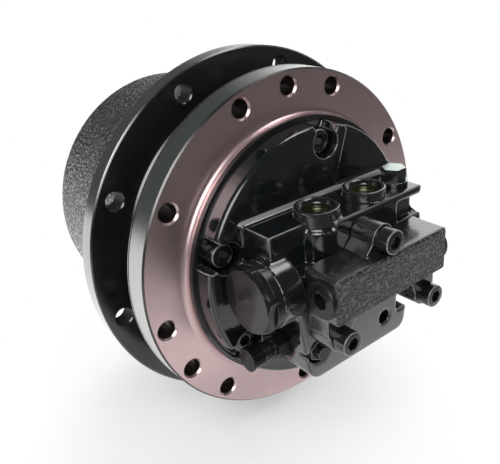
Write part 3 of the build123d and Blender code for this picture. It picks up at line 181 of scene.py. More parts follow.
room = bpy.data.worlds.new("white_room")
bpy.context.scene.world = room
room.use_nodes = True
room_tree = room.node_tree
room_tree.nodes.clear()
room_rays = place(room_tree, "ShaderNodeLightPath")
room_way = place(room_tree, "ShaderNodeTexCoord")["Generated"]
room_axes = place(room_tree, "ShaderNodeSeparateXYZ", {0: room_way})
room_side = ramp(room_tree, step_up(room_tree, room_axes["X"], 0.30, 0.72),
                 [(0.0, (0.038, 0.044, 0.041)), (0.5, (0.20, 0.205, 0.20)), (1.0, (0.70, 0.71, 0.70))])
room_deep = blend_colours(room_tree, step_up(room_tree, room_axes["Y"], -0.15, 0.5), (0.025, 0.024, 0.024), room_side)
room_zones = []
for aim, start, end in (((-0.62, -0.60, 0.505), 0.91, 0.975), ((0.43, -0.05, 0.90), 0.965, 0.99)):
    towards = place(room_tree, "ShaderNodeVectorMath", {0: room_way, 1: aim}, operation="DOT_PRODUCT")["Value"]
    room_zones.append(step_up(room_tree, towards, start, end))
room_bright = blend_colours(room_tree, maths(room_tree, "MAXIMUM", *room_zones), room_deep, (2.2, 2.2, 2.2))
room_soft = place(room_tree, "ShaderNodeBackground", {"Color": (0.5, 0.5, 0.5, 1.0)})[0]
room_glossy = place(room_tree, "ShaderNodeBackground", {"Color": room_bright, "Strength": 2.6})[0]
room_white = place(room_tree, "ShaderNodeBackground", {"Color": white})[0]
room_lighting = blend_shaders(room_tree, room_rays["Is Glossy Ray"], room_soft, room_glossy)
room_final = blend_shaders(room_tree, room_rays["Is Camera Ray"], room_lighting, room_white)
place(room_tree, "ShaderNodeOutputWorld", {"Surface": room_final})

for name, spot, size, watts in (("left_soft_box", (-0.95, -0.25, 1.15), 0.8, 8.0),
                                ("rear_soft_box", (0.75, 1.1, 0.95), 0.9, 7.0),
                                ("front_soft_box", (0.5, -1.5, 0.7), 0.5, 2.5)):
    lamp = bpy.data.lights.new(name, "AREA")
    lamp.size = size
    lamp.energy = watts
    holder = linked_piece(name, lamp)
    holder.matrix_world = Matrix.Translation(spot) @ Vector(spot).to_track_quat("Z", "Y").to_matrix().to_4x4()
    holder.visible_glossy = False


# Spindle: the forged steel frame flange, its spigot and the hollow journal behind them.
# The flange is faced on a lathe and carries a bronze-brown phosphate film.
# Its rim is bare, and the spigot is sprayed black.
def new_group(name, inputs, outputs):
    """A shader node group with named numbers in and out."""
    group = bpy.data.node_groups.new(name, "ShaderNodeTree")
    for label, value in inputs.items():
        group.interface.new_socket(name=label, in_out="INPUT", socket_type="NodeSocketFloat").default_value = value
    for label in outputs:
        group.interface.new_socket(name=label, in_out="OUTPUT", socket_type="NodeSocketFloat")
    return group, place(group, "NodeGroupInput"), group.nodes.new("NodeGroupOutput")


def object_axes(tree):
    """X, Y and Z of each point of a piece, in metres."""
    return place(tree, "ShaderNodeSeparateXYZ", {0: place(tree, "ShaderNodeTexCoord")["Object"]})


millimetres = 1000.0
turned_lay, lay_in, lay_out = new_group("turned_lay", {"Lines per mm": 3.0}, ("Lines", "Radius", "Along"))
lay_axes = object_axes(turned_lay)
lay_x, lay_z = (maths(turned_lay, "MULTIPLY", lay_axes[axis], lay_axes[axis]) for axis in "XZ")
lay_root = maths(turned_lay, "SQRT", maths(turned_lay, "ADD", lay_x, lay_z))
lay_radius = maths(turned_lay, "MULTIPLY", lay_root, millimetres)
lay_along = maths(turned_lay, "MULTIPLY", lay_axes["Y"], millimetres)
lay_vector = place(turned_lay, "ShaderNodeCombineXYZ", {
    "X": maths(turned_lay, "MULTIPLY", lay_radius, lay_in["Lines per mm"]),
    "Y": maths(turned_lay, "MULTIPLY", lay_along, lay_in["Lines per mm"])})[0]
lay_noise = place(turned_lay, "ShaderNodeTexNoise",
                  {"Vector": lay_vector, "Scale": 1.0, "Detail": 3.0, "Roughness": 0.65})["Fac"]
feed(lay_out, {"Lines": lay_noise, "Radius": lay_radius, "Along": lay_along})

patches, patch_in, patch_out = new_group("patches", {"Size mm": 20.0, "Contrast": 2.0}, ("Mask",))
patch_noise = place(patches, "ShaderNodeTexNoise", {
    "Vector": place(patches, "ShaderNodeTexCoord")["Object"],
    "Scale": maths(patches, "DIVIDE", millimetres, patch_in["Size mm"]), "Detail": 6.0, "Roughness": 0.62})["Fac"]
patch_centred = maths(patches, "MULTIPLY", maths(patches, "SUBTRACT", patch_noise, 0.5), patch_in["Contrast"])
feed(patch_out, {"Mask": place(patches, "ShaderNodeClamp", {"Value": maths(patches, "ADD", patch_centred, 0.5)})[0]})


def new_material(name):
    """A material with an empty tree but for a Principled BSDF and its output."""
    material = bpy.data.materials.new(name)
    material.use_nodes = True
    tree = material.node_tree
    tree.nodes.clear()
    shader = tree.nodes.new("ShaderNodeBsdfPrincipled")
    place(tree, "ShaderNodeOutputMaterial", {"Surface": shader.outputs[0]})
    return material, tree, shader


def use_group(tree, group, inputs):
    """Places a node group in a material with its own values, and gives its outputs."""
    return place(tree, "ShaderNodeGroup", inputs, node_tree=group)


def lathe_marks(tree, lines):
    """Cutter lines round the drive axis, and each point's radius and place along the axis, in mm."""
    lay = use_group(tree, turned_lay, {"Lines per mm": lines})
    return lay["Lines"], lay["Radius"], lay["Along"]


def patchy(tree, size, contrast):
    """A mask of soft patches of a size in mm."""
    return use_group(tree, patches, {"Size mm": size, "Contrast": contrast})["Mask"]


def facing(tree, axis):
    """How far each face looks along an axis, from -1 to 1."""
    return place(tree, "ShaderNodeSeparateXYZ", {0: place(tree, "ShaderNodeNewGeometry")["True Normal"]})[axis]


def between(tree, value, rise, fall):
    """A mask of the values between a rise and a fall, each with its start and end."""
    return maths(tree, "MULTIPLY", step_up(tree, value, *rise), step_up(tree, value, *fall))


def hole_walls(tree, radius, rise, fall):
    """A mask of the walls of the holes on a bolt circle, which don't look along the drive axis."""
    wall = step_up(tree, maths(tree, "ABSOLUTE", facing(tree, "Y")), 0.35, 0.25)
    return maths(tree, "MULTIPLY", between(tree, radius, rise, fall), wall)


def blend_values(tree, mask, first, second):
    """Mixes two numbers or sockets by a mask. The Mix node has them at 2 and 3, and puts out at 0."""
    return place(tree, "ShaderNodeMix", {0: mask, 2: first, 3: second}, data_type="FLOAT")[0]


def bumped(tree, shader, height, depth, strength=1.0):
    """Feeds a height to the shader's normal; depth is in metres."""
    bump = place(tree, "ShaderNodeBump", {"Height": height, "Distance": depth, "Strength": strength})
    feed(shader, {"Normal": bump["Normal"]})


def dress(node_names, material):
    """Gives CAD nodes a material."""
    for node_name in node_names:
        for slot in frame["nodes"][node_name].material_slots:
            slot.material = material


flange_steel, flange_tree, flange_shader = new_material("brown_turned_flange")
flange_lines, flange_radius, flange_along = lathe_marks(flange_tree, 2.2)
flange_patches = patchy(flange_tree, 46.0, 2.2)
flange_specks = patchy(flange_tree, 3.0, 3.0)
brown_film = blend_colours(flange_tree, flange_patches, (0.60, 0.43, 0.437), (0.76, 0.56, 0.568))
brown_lined = blend_colours(flange_tree, flange_lines, brown_film, (0.78, 0.61, 0.617))
rim_mask = step_up(flange_tree, flange_radius, 124.2, 124.4)
behind_mask = step_up(flange_tree, flange_along, 19.0, 19.6)
bare_mask = maths(flange_tree, "MAXIMUM", rim_mask, behind_mask)
rim_steel = blend_colours(flange_tree, flange_lines, (0.26, 0.265, 0.26), (0.40, 0.405, 0.395))
flange_outside = blend_colours(flange_tree, bare_mask, brown_lined, rim_steel)
# A thin dark band on the front edge of the rim: painted shade that dims the edge's reflected line.
flange_edge_shade_mask = maths(flange_tree, "MULTIPLY", step_up(flange_tree, flange_radius, 123.7, 123.9),
                      step_up(flange_tree, flange_along, 1.3, 1.1))
flange_edge_shaded = blend_colours(flange_tree, flange_edge_shade_mask, flange_outside, (0.11, 0.106, 0.104))
flange_holes = hole_walls(flange_tree, flange_radius, (104.0, 105.0), (123.5, 123.0))
flange_drilled = blend_colours(flange_tree, flange_holes, flange_edge_shaded, (0.13, 0.105, 0.10))
spigot_mask = maths(flange_tree, "MULTIPLY", step_up(flange_tree, flange_along, -4.1, -4.4),
                    step_up(flange_tree, flange_radius, 96.5, 96.0))
spigot_paint = blend_colours(flange_tree, flange_specks, (0.011, 0.010, 0.010), (0.020, 0.018, 0.018))
film_rough = blend_values(flange_tree, flange_specks, 0.30, 0.38)
flange_rough = blend_values(flange_tree, bare_mask, film_rough, 0.26)
feed(flange_shader, {"Base Color": blend_colours(flange_tree, spigot_mask, flange_drilled, spigot_paint),
                     "Metallic": blend_values(flange_tree, spigot_mask, 0.94, 0.0),
                     "Roughness": blend_values(flange_tree, spigot_mask, flange_rough, 0.2),
                     "Specular IOR Level": 0.8})
bumped(flange_tree, flange_shader, flange_lines, 0.00006, 0.4)
dress(["spindle"], flange_steel)


# Hub: one iron casting with the neck, the sprocket flange and the drum, seen behind the frame flange.
# The flange is faced and sprayed gloss black, its rim turned bare; the drum keeps its rough sand-cast skin.
sand_skin, sand_in, sand_out = new_group("sand_skin", {"Grain mm": 1.6}, ("Height", "Peaks"))
sand_place = place(sand_skin, "ShaderNodeTexCoord")["Object"]
sand_scale = maths(sand_skin, "DIVIDE", millimetres, sand_in["Grain mm"])
sand_coarse = place(sand_skin, "ShaderNodeTexNoise", {
    "Vector": sand_place, "Scale": maths(sand_skin, "MULTIPLY", sand_scale, 0.8), "Detail": 3.0,
    "Roughness": 0.6})["Fac"]
sand_fine = place(sand_skin, "ShaderNodeTexVoronoi", {"Vector": sand_place, "Scale": sand_scale},
                  feature="SMOOTH_F1")["Distance"]
sand_height = maths(sand_skin, "SUBTRACT", maths(sand_skin, "MULTIPLY", sand_coarse, 1.8), sand_fine)
feed(sand_out, {"Height": sand_height, "Peaks": step_up(sand_skin, sand_height, 0.40, 0.75)})

hub_iron, hub_tree, hub_shader = new_material("black_cast_hub")
hub_lines, hub_radius, hub_along = lathe_marks(hub_tree, 1.5)
hub_sand = use_group(hub_tree, sand_skin, {"Grain mm": 2.0})
hub_patches = patchy(hub_tree, 30.0, 2.0)
drum_mask = step_up(hub_tree, hub_along, 70.3, 70.9)
hub_rim = step_up(hub_tree, hub_radius, 134.85, 134.95)
# The front chamfer of the sprocket flange is bare metal like the rim, and its colour sets a painted highlight line
# along the edge.
hub_chamfer_bare_and_highlight = maths(hub_tree, "MULTIPLY", step_up(hub_tree, hub_radius, 134.45, 134.55),
                   step_up(hub_tree, hub_along, 50.6, 50.5))
hub_bare_and_highlight = maths(hub_tree, "MAXIMUM", hub_rim, hub_chamfer_bare_and_highlight)
# The sand skin is lighter on its peaks: a painted highlight of the cast grain.
drum_black = blend_colours(hub_tree, hub_sand["Peaks"], (0.10, 0.10, 0.10), (0.29, 0.29, 0.287))
gloss_black = blend_colours(hub_tree, hub_patches, (0.008, 0.009, 0.011), (0.016, 0.016, 0.018))
hub_colour = blend_colours(hub_tree, drum_mask, gloss_black, drum_black)
hub_rim_steel = blend_colours(hub_tree, hub_lines, (0.22, 0.22, 0.215), (0.34, 0.345, 0.335))
hub_rimmed = blend_colours(hub_tree, hub_rim, hub_colour, hub_rim_steel)
hub_holes = hole_walls(hub_tree, hub_radius, (114.0, 115.0), (131.0, 130.0))
drum_metal = maths(hub_tree, "MULTIPLY", drum_mask, 0.8)
gloss_rough = blend_values(hub_tree, hub_patches, 0.14, 0.24)
skin_rough = blend_values(hub_tree, hub_sand["Peaks"], 0.42, 0.24)
hub_rough = blend_values(hub_tree, drum_mask, gloss_rough, skin_rough)
feed(hub_shader, {"Base Color": blend_colours(hub_tree, hub_chamfer_bare_and_highlight, hub_rimmed, (0.20, 0.20, 0.197)),
                  "Metallic": blend_values(hub_tree, hub_bare_and_highlight, drum_metal, 0.9),
                  "Roughness": blend_values(hub_tree, hub_holes, hub_rough, 0.75),
                  "Specular IOR Level": 1.0})
smooth_height = maths(hub_tree, "MULTIPLY", hub_lines, 0.03)
bumped(hub_tree, hub_shader, blend_values(hub_tree, drum_mask, smooth_height, hub_sand["Height"]), 0.0014)
dress(["hub_drum"], hub_iron)


# End of the drum: a pressed steel cover with two socket plugs, held by an open spring ring.
# The cover is painted with the hub; the ring and the plugs are blackened, and the plugs' edges are painted lighter,
# partly as wear and partly as a painted glint.
def settle(piece):
    """Turns a piece's modifiers into plain mesh."""
    held = bpy.context.evaluated_depsgraph_get()
    mesh = bpy.data.meshes.new_from_object(piece.evaluated_get(held))
    piece.modifiers.clear()
    piece.data = mesh
    return piece


def modify(piece, name, kind, **settings):
    """Adds a modifier to a piece."""
    modifier = piece.modifiers.new(name, kind)
    for label, value in settings.items():
        setattr(modifier, label, value)


def merged_copy(node_name):
    """A copy of a CAD node's mesh with its loose triangles joined, and the same open for editing."""
    mesh = frame["nodes"][node_name].data.copy()
    work = bmesh.new()
    work.from_mesh(mesh)
    bmesh.ops.remove_doubles(work, verts=work.verts, dist=2e-6)
    return mesh, work


def mark_edges(mesh):
    """Stores how far each point stands out on an edge, as the attribute "edge"."""
    count = len(mesh.vertices)
    points = np.empty(count * 3)
    mesh.vertices.foreach_get("co", points)
    points = points.reshape(-1, 3)
    normals = np.empty(count * 3, np.float32)
    mesh.vertex_normals.foreach_get("vector", normals)
    normals = normals.reshape(-1, 3)
    pairs = np.empty(len(mesh.edges) * 2, np.int32)
    mesh.edges.foreach_get("vertices", pairs)
    pairs = pairs.reshape(-1, 2)
    fall = np.zeros(count)
    shares = np.zeros(count)
    for a, b in ((0, 1), (1, 0)):
        run = points[pairs[:, b]] - points[pairs[:, a]]
        drop = -(normals[pairs[:, a]] * run).sum(1) / np.maximum(np.linalg.norm(run, axis=1), 1e-9)
        np.add.at(fall, pairs[:, a], drop)
        np.add.at(shares, pairs[:, a], 1.0)
    full_edge = 0.25
    edge = np.clip(fall / np.maximum(shares, 1.0) / full_edge, 0.0, 1.0)
    mesh.attributes.new("edge", "FLOAT", "POINT").data.foreach_set("value", edge.astype(np.float32))


def softened(node_name, piece_name, width, material):
    """A copy of a machined CAD node with its edges broken by a small round."""
    flat, sharp = radians(2.0), radians(32)
    mesh, work = merged_copy(node_name)
    bmesh.ops.dissolve_limit(work, angle_limit=flat, verts=work.verts, edges=work.edges)
    for face in work.faces:
        face.smooth = True
    for edge in work.edges:
        edge.smooth = len(edge.link_faces) == 2 and edge.calc_face_angle(0.0) < sharp
    work.to_mesh(mesh)
    work.free()
    mesh.materials.clear()
    mesh.materials.append(material)
    piece = linked_piece(piece_name, mesh)
    modify(piece, "broken_edges", "BEVEL", width=width, segments=2, limit_method="ANGLE", angle_limit=sharp)
    modify(piece, "flat_faces", "WEIGHTED_NORMAL", weight=100)
    settle(piece)
    mark_edges(piece.data)
    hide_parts(node_name)
    return piece


def edge_wear_and_glint(tree, start, end):
    """A mask of the edges that are painted lighter, partly as thin paint and partly as a painted glint."""
    return step_up(tree, place(tree, "ShaderNodeAttribute", attribute_name="edge")["Fac"], start, end)


def mottled(name, patch, colours, sheen, wear_and_glint=None):
    """A material whose colour and roughness follow soft patches, and whose edges may be painted lighter: partly wear,
    partly a painted glint.
    """
    material, tree, shader = new_material(name)
    mask = patchy(tree, *patch)
    colour = blend_colours(tree, mask, *colours)
    if wear_and_glint:
        start, end, bright = wear_and_glint
        colour = blend_colours(tree, edge_wear_and_glint(tree, start, end), colour, bright)
    feed(shader, {"Base Color": colour, "Roughness": blend_values(tree, mask, *sheen)})
    return material, tree, shader


# Edges of the screws and plugs are painted lighter grey: partly wear of the blacking, partly a painted glint.
black_steel, black_tree, black_shader = mottled(
    "blackened_steel", (5.0, 2.4), ((0.008, 0.008, 0.009), (0.020, 0.019, 0.019)), (0.09, 0.18),
    wear_and_glint=(0.55, 0.95, (0.22, 0.22, 0.22)))
feed(black_shader, {"Specular IOR Level": 0.5, "Coat Weight": 0.5, "Coat Roughness": 0.06})
bumped(black_tree, black_shader, patchy(black_tree, 0.9, 2.0), 0.00005, 0.4)

cover_paint, cover_tree, cover_shader = new_material("end_cover_paint")
cover_lines = lathe_marks(cover_tree, 0.8)[0]
cover_patches = patchy(cover_tree, 24.0, 2.0)
cover_grain = use_group(cover_tree, sand_skin, {"Grain mm": 1.0})["Height"]
feed(cover_shader, {"Base Color": blend_colours(cover_tree, cover_patches, (0.013, 0.013, 0.014), (0.03, 0.03, 0.03)),
                    "Roughness": blend_values(cover_tree, cover_lines, 0.24, 0.38)})
bumped(cover_tree, cover_shader, cover_grain, 0.00015, 0.6)
dress(["end_cover"], cover_paint)
dress(["snap_ring"], black_steel)
oil_plugs = softened("oil_plugs", "end_cover_plugs", 0.0004, black_steel)
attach(oil_plugs, "hub")


# Motor cover: an iron casting with the bolted disc, the casing, the port bosses and the spool bosses.
# Sand cast, so every corner that no cutter touched is round; sprayed with thick gloss black paint.
def cast_copy(node_name, piece_name, grain, material):
    """A copy of a CAD node with the soft corners of a casting, and how far each point stands on an edge."""
    mesh, work = merged_copy(node_name)
    work.to_mesh(mesh)
    work.free()
    piece = linked_piece(piece_name, mesh)
    modify(piece, "casting_skin", "REMESH", mode="VOXEL", voxel_size=grain)
    modify(piece, "soft_corners", "SMOOTH", factor=0.5, iterations=2)
    settle(piece)
    piece.data.shade_smooth()
    mark_edges(piece.data)
    piece.data.materials.clear()
    piece.data.materials.append(material)
    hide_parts(node_name)
    return piece


orange_peel, peel_in, peel_out = new_group("orange_peel", {"Size mm": 3.0}, ("Height",))
peel_noise = place(orange_peel, "ShaderNodeTexNoise", {
    "Vector": place(orange_peel, "ShaderNodeTexCoord")["Object"],
    "Scale": maths(orange_peel, "DIVIDE", millimetres, peel_in["Size mm"]), "Detail": 2.0, "Roughness": 0.45})["Fac"]
feed(peel_out, {"Height": peel_noise})


def peeled(tree, size):
    """The height of sprayed paint's orange peel, of a size in mm."""
    return use_group(tree, orange_peel, {"Size mm": size})["Height"]


cover_black, paint_tree, paint_shader = new_material("gloss_black_casting")
paint_axes = object_axes(paint_tree)
paint_patches = patchy(paint_tree, 18.0, 2.2)
paint_clouds = patchy(paint_tree, 60.0, 3.0)
paint_cool = blend_colours(paint_tree, paint_clouds, (0.006, 0.0065, 0.0075), (0.005, 0.009, 0.0095))
paint_film = blend_colours(paint_tree, paint_patches, paint_cool, (0.011, 0.012, 0.0145))
# The lower front plate is painted grey: a painted reflection of the pale floor in the gloss black.
plate_reflection_mask = maths(paint_tree, "MULTIPLY", step_up(paint_tree, paint_axes["Z"], -0.004, -0.012),
                   step_up(paint_tree, paint_axes["Y"], -0.0605, -0.0622))
plate_reflected = blend_colours(paint_tree, plate_reflection_mask, paint_film, (0.07, 0.074, 0.074))
# A light strip along the round ridge at the back of the port platform: a painted highlight.
ridge_up = between(paint_tree, paint_axes["Z"], (0.0444, 0.0450), (0.0480, 0.0474))
ridge_out = between(paint_tree, paint_axes["Y"], (-0.0229, -0.0232), (-0.0256, -0.0252))
ridge_highlight_mask = maths(paint_tree, "MULTIPLY", maths(paint_tree, "MULTIPLY", ridge_up, ridge_out), 0.85)
ridge_highlighted = blend_colours(paint_tree, ridge_highlight_mask, plate_reflected, (0.34, 0.345, 0.34))
# Edges are painted lighter, partly as thin paint and partly as a painted glint.
paint_wear_and_glint = blend_colours(paint_tree, edge_wear_and_glint(paint_tree, 0.3, 0.9), ridge_highlighted, (0.20, 0.20, 0.205))
feed(paint_shader, {"Base Color": paint_wear_and_glint, "Roughness": blend_values(paint_tree, paint_patches, 0.10, 0.20),
                    "Specular IOR Level": 0.5, "Coat Weight": 0.7, "Coat Roughness": 0.05})
bumped(paint_tree, paint_shader, peeled(paint_tree, 4.0), 0.0003, 0.3)
motor_cover = cast_copy("motor_cover", "motor_cover_casting", 0.00115, cover_black)
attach(motor_cover, "spindle_side")


# Work ports: the two hose ports on the casing's top, with faced rims and a cut pipe thread.
# The rims are turned after painting and touched in; the thread and the bore wall are bare iron tinted olive-yellow, a
# painted reflection.
def turned_ring(name, centres, profile, material):
    """A piece turned about upright axes from a closed profile of radius and height, in metres."""
    mesh = bpy.data.meshes.new(name)
    work = bmesh.new()
    around = 72
    angles = [2 * pi * k / around for k in range(around)]
    for x, y in centres:
        rings = [[work.verts.new((x + r * cos(angle), y + r * sin(angle), z)) for angle in angles]
                 for r, z in profile]
        for lower, upper in zip(rings, rings[1:] + rings[:1]):
            for k in range(around):
                after = (k + 1) % around
                work.faces.new((lower[k], lower[after], upper[after], upper[k]))
    work.to_mesh(mesh)
    work.free()
    mesh.materials.append(material)
    mesh.shade_smooth()
    mesh.set_sharp_from_angle(angle=radians(30))
    return linked_piece(name, mesh)


def new_tree(name, sizes):
    """A geometry nodes tree that takes points, named sizes and a finish, and puts out pieces."""
    tree = bpy.data.node_groups.new(name, "GeometryNodeTree")
    kinds = {"Points": "Geometry", "Sides": "Int", "Turn": "Vector", "Finish": "Material"}
    for label, value in {"Points": None, **sizes, "Finish": None}.items():
        kind = "NodeSocket" + kinds.get(label, "Float")
        socket = tree.interface.new_socket(name=label, in_out="INPUT", socket_type=kind)
        if value is not None:
            socket.default_value = value
    tree.interface.new_socket(name="Pieces", in_out="OUTPUT", socket_type="NodeSocketGeometry")
    return tree, place(tree, "NodeGroupInput")


def set_on_points(tree, given, mesh):
    """Ends a geometry nodes tree: the mesh stands on every point as real faces, with its finish."""
    dots = place(tree, "GeometryNodeMeshToPoints", {"Mesh": given["Points"]})["Points"]
    spread = place(tree, "GeometryNodeInstanceOnPoints",
                   {"Points": dots, "Instance": mesh, "Rotation": given["Turn"]})["Instances"]
    real = place(tree, "GeometryNodeRealizeInstances", {"Geometry": spread})["Geometry"]
    finished = place(tree, "GeometryNodeSetMaterial", {"Geometry": real, "Material": given["Finish"]})["Geometry"]
    feed(tree.nodes.new("NodeGroupOutput"), {"Pieces": finished})


def run_tree(tree, name, points, values):
    """Makes a piece from points with a geometry nodes tree, as a plain mesh."""
    mesh = bpy.data.meshes.new(name)
    mesh.from_pydata(points, [], [])
    piece = linked_piece(name, mesh)
    modifier = piece.modifiers.new(name, "NODES")
    modifier.node_group = tree
    for item in tree.interface.items_tree:
        if item.in_out == "INPUT" and item.name in values:
            modifier[item.identifier] = values[item.name]
    settle(piece)
    while piece.data.materials[0] is None:
        piece.data.materials.pop(index=0)
    piece.data.shade_smooth()
    piece.data.set_sharp_from_angle(angle=radians(35))
    return piece


# A thread ridge or a wire, wound about Z from each point; four sides make a V.
pipe_thread, thread_given = new_tree("pipe_threads", {
    "Thread Radius": 0.0095, "Thread Length": 0.02, "Pitch": 0.0018, "Ridge": 0.0007, "Sides": 4,
    "Turn": (0.0, 0.0, 0.0)})
thread_spiral = place(pipe_thread, "GeometryNodeCurveSpiral", {
    "Resolution": 40, "Start Radius": thread_given["Thread Radius"], "End Radius": thread_given["Thread Radius"],
    "Height": thread_given["Thread Length"],
    "Rotations": maths(pipe_thread, "DIVIDE", thread_given["Thread Length"], thread_given["Pitch"])})["Curve"]
thread_ridge = place(pipe_thread, "GeometryNodeCurvePrimitiveCircle", {
    "Resolution": thread_given["Sides"], "Radius": thread_given["Ridge"]})["Curve"]
thread_wound = place(pipe_thread, "GeometryNodeCurveToMesh", {
    "Curve": thread_spiral, "Profile Curve": thread_ridge, "Fill Caps": True})["Mesh"]
set_on_points(pipe_thread, thread_given, thread_wound)

# Olive-yellow tint on the thread and bore wall: a painted reflection.
port_iron_olive_reflection, port_tree, port_shader = mottled(
    "port_iron_painted_olive_reflection", (6.0, 2.2), ((0.045, 0.046, 0.024), (0.11, 0.11, 0.06)), (0.22, 0.36))
feed(port_shader, {"Metallic": 0.8})
port_paint, rim_tree, rim_shader = mottled(
    "touched_in_rim_paint", (7.0, 2.2), ((0.010, 0.010, 0.010), (0.024, 0.023, 0.022)), (0.16, 0.28))
feed(rim_shader, {"Specular IOR Level": 0.8, "Coat Weight": 0.8, "Coat Roughness": 0.08})
port_centres = [(-0.0215, -0.046), (0.0215, -0.046)]
thread_foot = 0.0265
rim_profile = [(0.0139, 0.0402), (0.0144, 0.0405), (0.0147, 0.0410), (0.0147, 0.0480), (0.0145, 0.0482),
               (0.0145, 0.0486), (0.0147, 0.0488), (0.0147, 0.0502), (0.0145, 0.0508), (0.0140, 0.05105),
               (0.0129, 0.05105), (0.0126, 0.0509), (0.0123, 0.0506), (0.0097, 0.0482), (0.00945, 0.0478),
               (0.00985, 0.0402)]
wall_profile = [(0.00945, 0.0480), (0.00945, 0.0223), (0.0098, 0.0223), (0.0098, 0.0480)]
port_rims = turned_ring("work_port_rims", port_centres, rim_profile, port_paint)
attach(port_rims, "spindle_side")
port_threads = run_tree(pipe_thread, "work_port_threads", [(x, y, thread_foot) for x, y in port_centres],
                        {"Thread Radius": 0.0095, "Thread Length": 0.0205, "Pitch": 0.0018, "Ridge": 0.0008,
                         "Finish": port_iron_olive_reflection})
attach(port_threads, "spindle_side")
port_walls = turned_ring("work_port_walls", port_centres, wall_profile, port_iron_olive_reflection)
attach(port_walls, "spindle_side")


# Cap screws of the motor cover: six socket head screws of M10 in scalloped pockets round the disc.
# Forged heads with a rolled edge and a hexagon socket, blackened and then sprayed with the casing.
cap_screws, screw_given = new_tree("cap_screws", {
    "Head Radius": 0.008, "Head Height": 0.010, "Rolled Edge": 0.0010, "Socket Corner": 0.0046,
    "Socket Depth": 0.005, "Shank Radius": 0.005, "Shank Length": 0.013, "Turn": (pi / 2, 0.0, 0.0)})


def raised(mesh, lift):
    """Lifts a part of the screw along its axis."""
    spot = place(cap_screws, "ShaderNodeCombineXYZ", {"Z": lift})[0]
    return place(cap_screws, "GeometryNodeTransform", {"Geometry": mesh, "Translation": spot})["Geometry"]


def screw_wall(sides, radius, height, lift):
    """An open tube of the screw."""
    return raised(place(cap_screws, "GeometryNodeMeshCylinder",
                        {"Vertices": sides, "Radius": radius, "Depth": height}, fill_type="NONE")["Mesh"], lift)


def outline(sides, radius):
    """A flat outline of the screw."""
    return place(cap_screws, "GeometryNodeCurvePrimitiveCircle", {"Resolution": sides, "Radius": radius})["Curve"]


def filled(outlines):
    """A flat face inside one outline or between two."""
    joined = place(cap_screws, "GeometryNodeJoinGeometry", {"Geometry": outlines})["Geometry"]
    return place(cap_screws, "GeometryNodeFillCurve", {"Curve": joined})["Mesh"]


def flipped(mesh):
    """Turns a part's faces to the other side."""
    return place(cap_screws, "GeometryNodeFlipFaces", {"Mesh": mesh})["Mesh"]


round_sides, socket_sides, edge_cones = 48, 6, 3
head, tall, roll, corner, deep, shank, reach = (screw_given[label] for label in (
    "Head Radius", "Head Height", "Rolled Edge", "Socket Corner", "Socket Depth", "Shank Radius", "Shank Length"))
straight = maths(cap_screws, "SUBTRACT", tall, roll)
screw_parts = [screw_wall(round_sides, head, straight, maths(cap_screws, "MULTIPLY", straight, 0.5))]
for cone in range(edge_cones):
    low, high = (step * pi / 2 / edge_cones for step in (cone, cone + 1))
    wide, narrow = (maths(cap_screws, "SUBTRACT", head, maths(cap_screws, "MULTIPLY", roll, 1 - cos(angle)))
                    for angle in (low, high))
    rolled = place(cap_screws, "GeometryNodeMeshCone", {
        "Vertices": round_sides, "Radius Bottom": wide, "Radius Top": narrow,
        "Depth": maths(cap_screws, "MULTIPLY", roll, sin(high) - sin(low))}, fill_type="NONE")["Mesh"]
    # The rolled edge is marked as an edge, so the finish paints it lighter: partly wear, partly a painted glint.
    wear_and_glint = place(cap_screws, "GeometryNodeStoreNamedAttribute",
                 {"Geometry": rolled, "Name": "edge", "Value": 1.0})["Geometry"]
    screw_parts.append(raised(wear_and_glint, maths(cap_screws, "ADD", straight, maths(cap_screws, "MULTIPLY", roll, sin(low)))))
head_face = filled([outline(round_sides, maths(cap_screws, "SUBTRACT", head, roll)), outline(socket_sides, corner)])
socket_middle = maths(cap_screws, "SUBTRACT", tall, maths(cap_screws, "MULTIPLY", deep, 0.5))
screw_parts += [
    raised(head_face, tall),
    flipped(screw_wall(socket_sides, corner, deep, socket_middle)),
    raised(filled([outline(socket_sides, corner)]), maths(cap_screws, "SUBTRACT", tall, deep)),
    flipped(filled([outline(round_sides, head), outline(round_sides, shank)])),
    screw_wall(round_sides, shank, reach, maths(cap_screws, "MULTIPLY", reach, -0.5)),
    raised(flipped(filled([outline(round_sides, shank)])), maths(cap_screws, "MULTIPLY", reach, -1.0))]
screw_whole = place(cap_screws, "GeometryNodeJoinGeometry", {"Geometry": screw_parts})["Geometry"]
screw_welded = place(cap_screws, "GeometryNodeMergeByDistance",
                     {"Geometry": screw_whole, "Distance": 1e-5})["Geometry"]
set_on_points(cap_screws, screw_given, screw_welded)

cover_seat, cover_circle = -0.006, 0.079
cover_points = [(cover_circle * cos(radians(angle)), cover_seat, cover_circle * sin(radians(angle)))
                for angle in (18, 82, 161.6, 213.6, 270, 326)]
cover_screws = run_tree(cap_screws, "cover_cap_screws", cover_points, {"Shank Length": 0.0137, "Finish": black_steel})
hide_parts("cover_screws")
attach(cover_screws, "spindle_side")


# Valve block: a second iron casting across the casing's front, with three lugs for its cap screws.
# Its front keeps the rough cast skin under the paint; the top and the lugs are smooth and glossy.
block_black, block_tree, block_shader = new_material("rough_black_block")
block_sand = use_group(block_tree, sand_skin, {"Grain mm": 1.5})
block_patches = patchy(block_tree, 9.0, 2.2)
skin_mask = step_up(block_tree, object_axes(block_tree)["Y"], -0.0892, -0.0904)
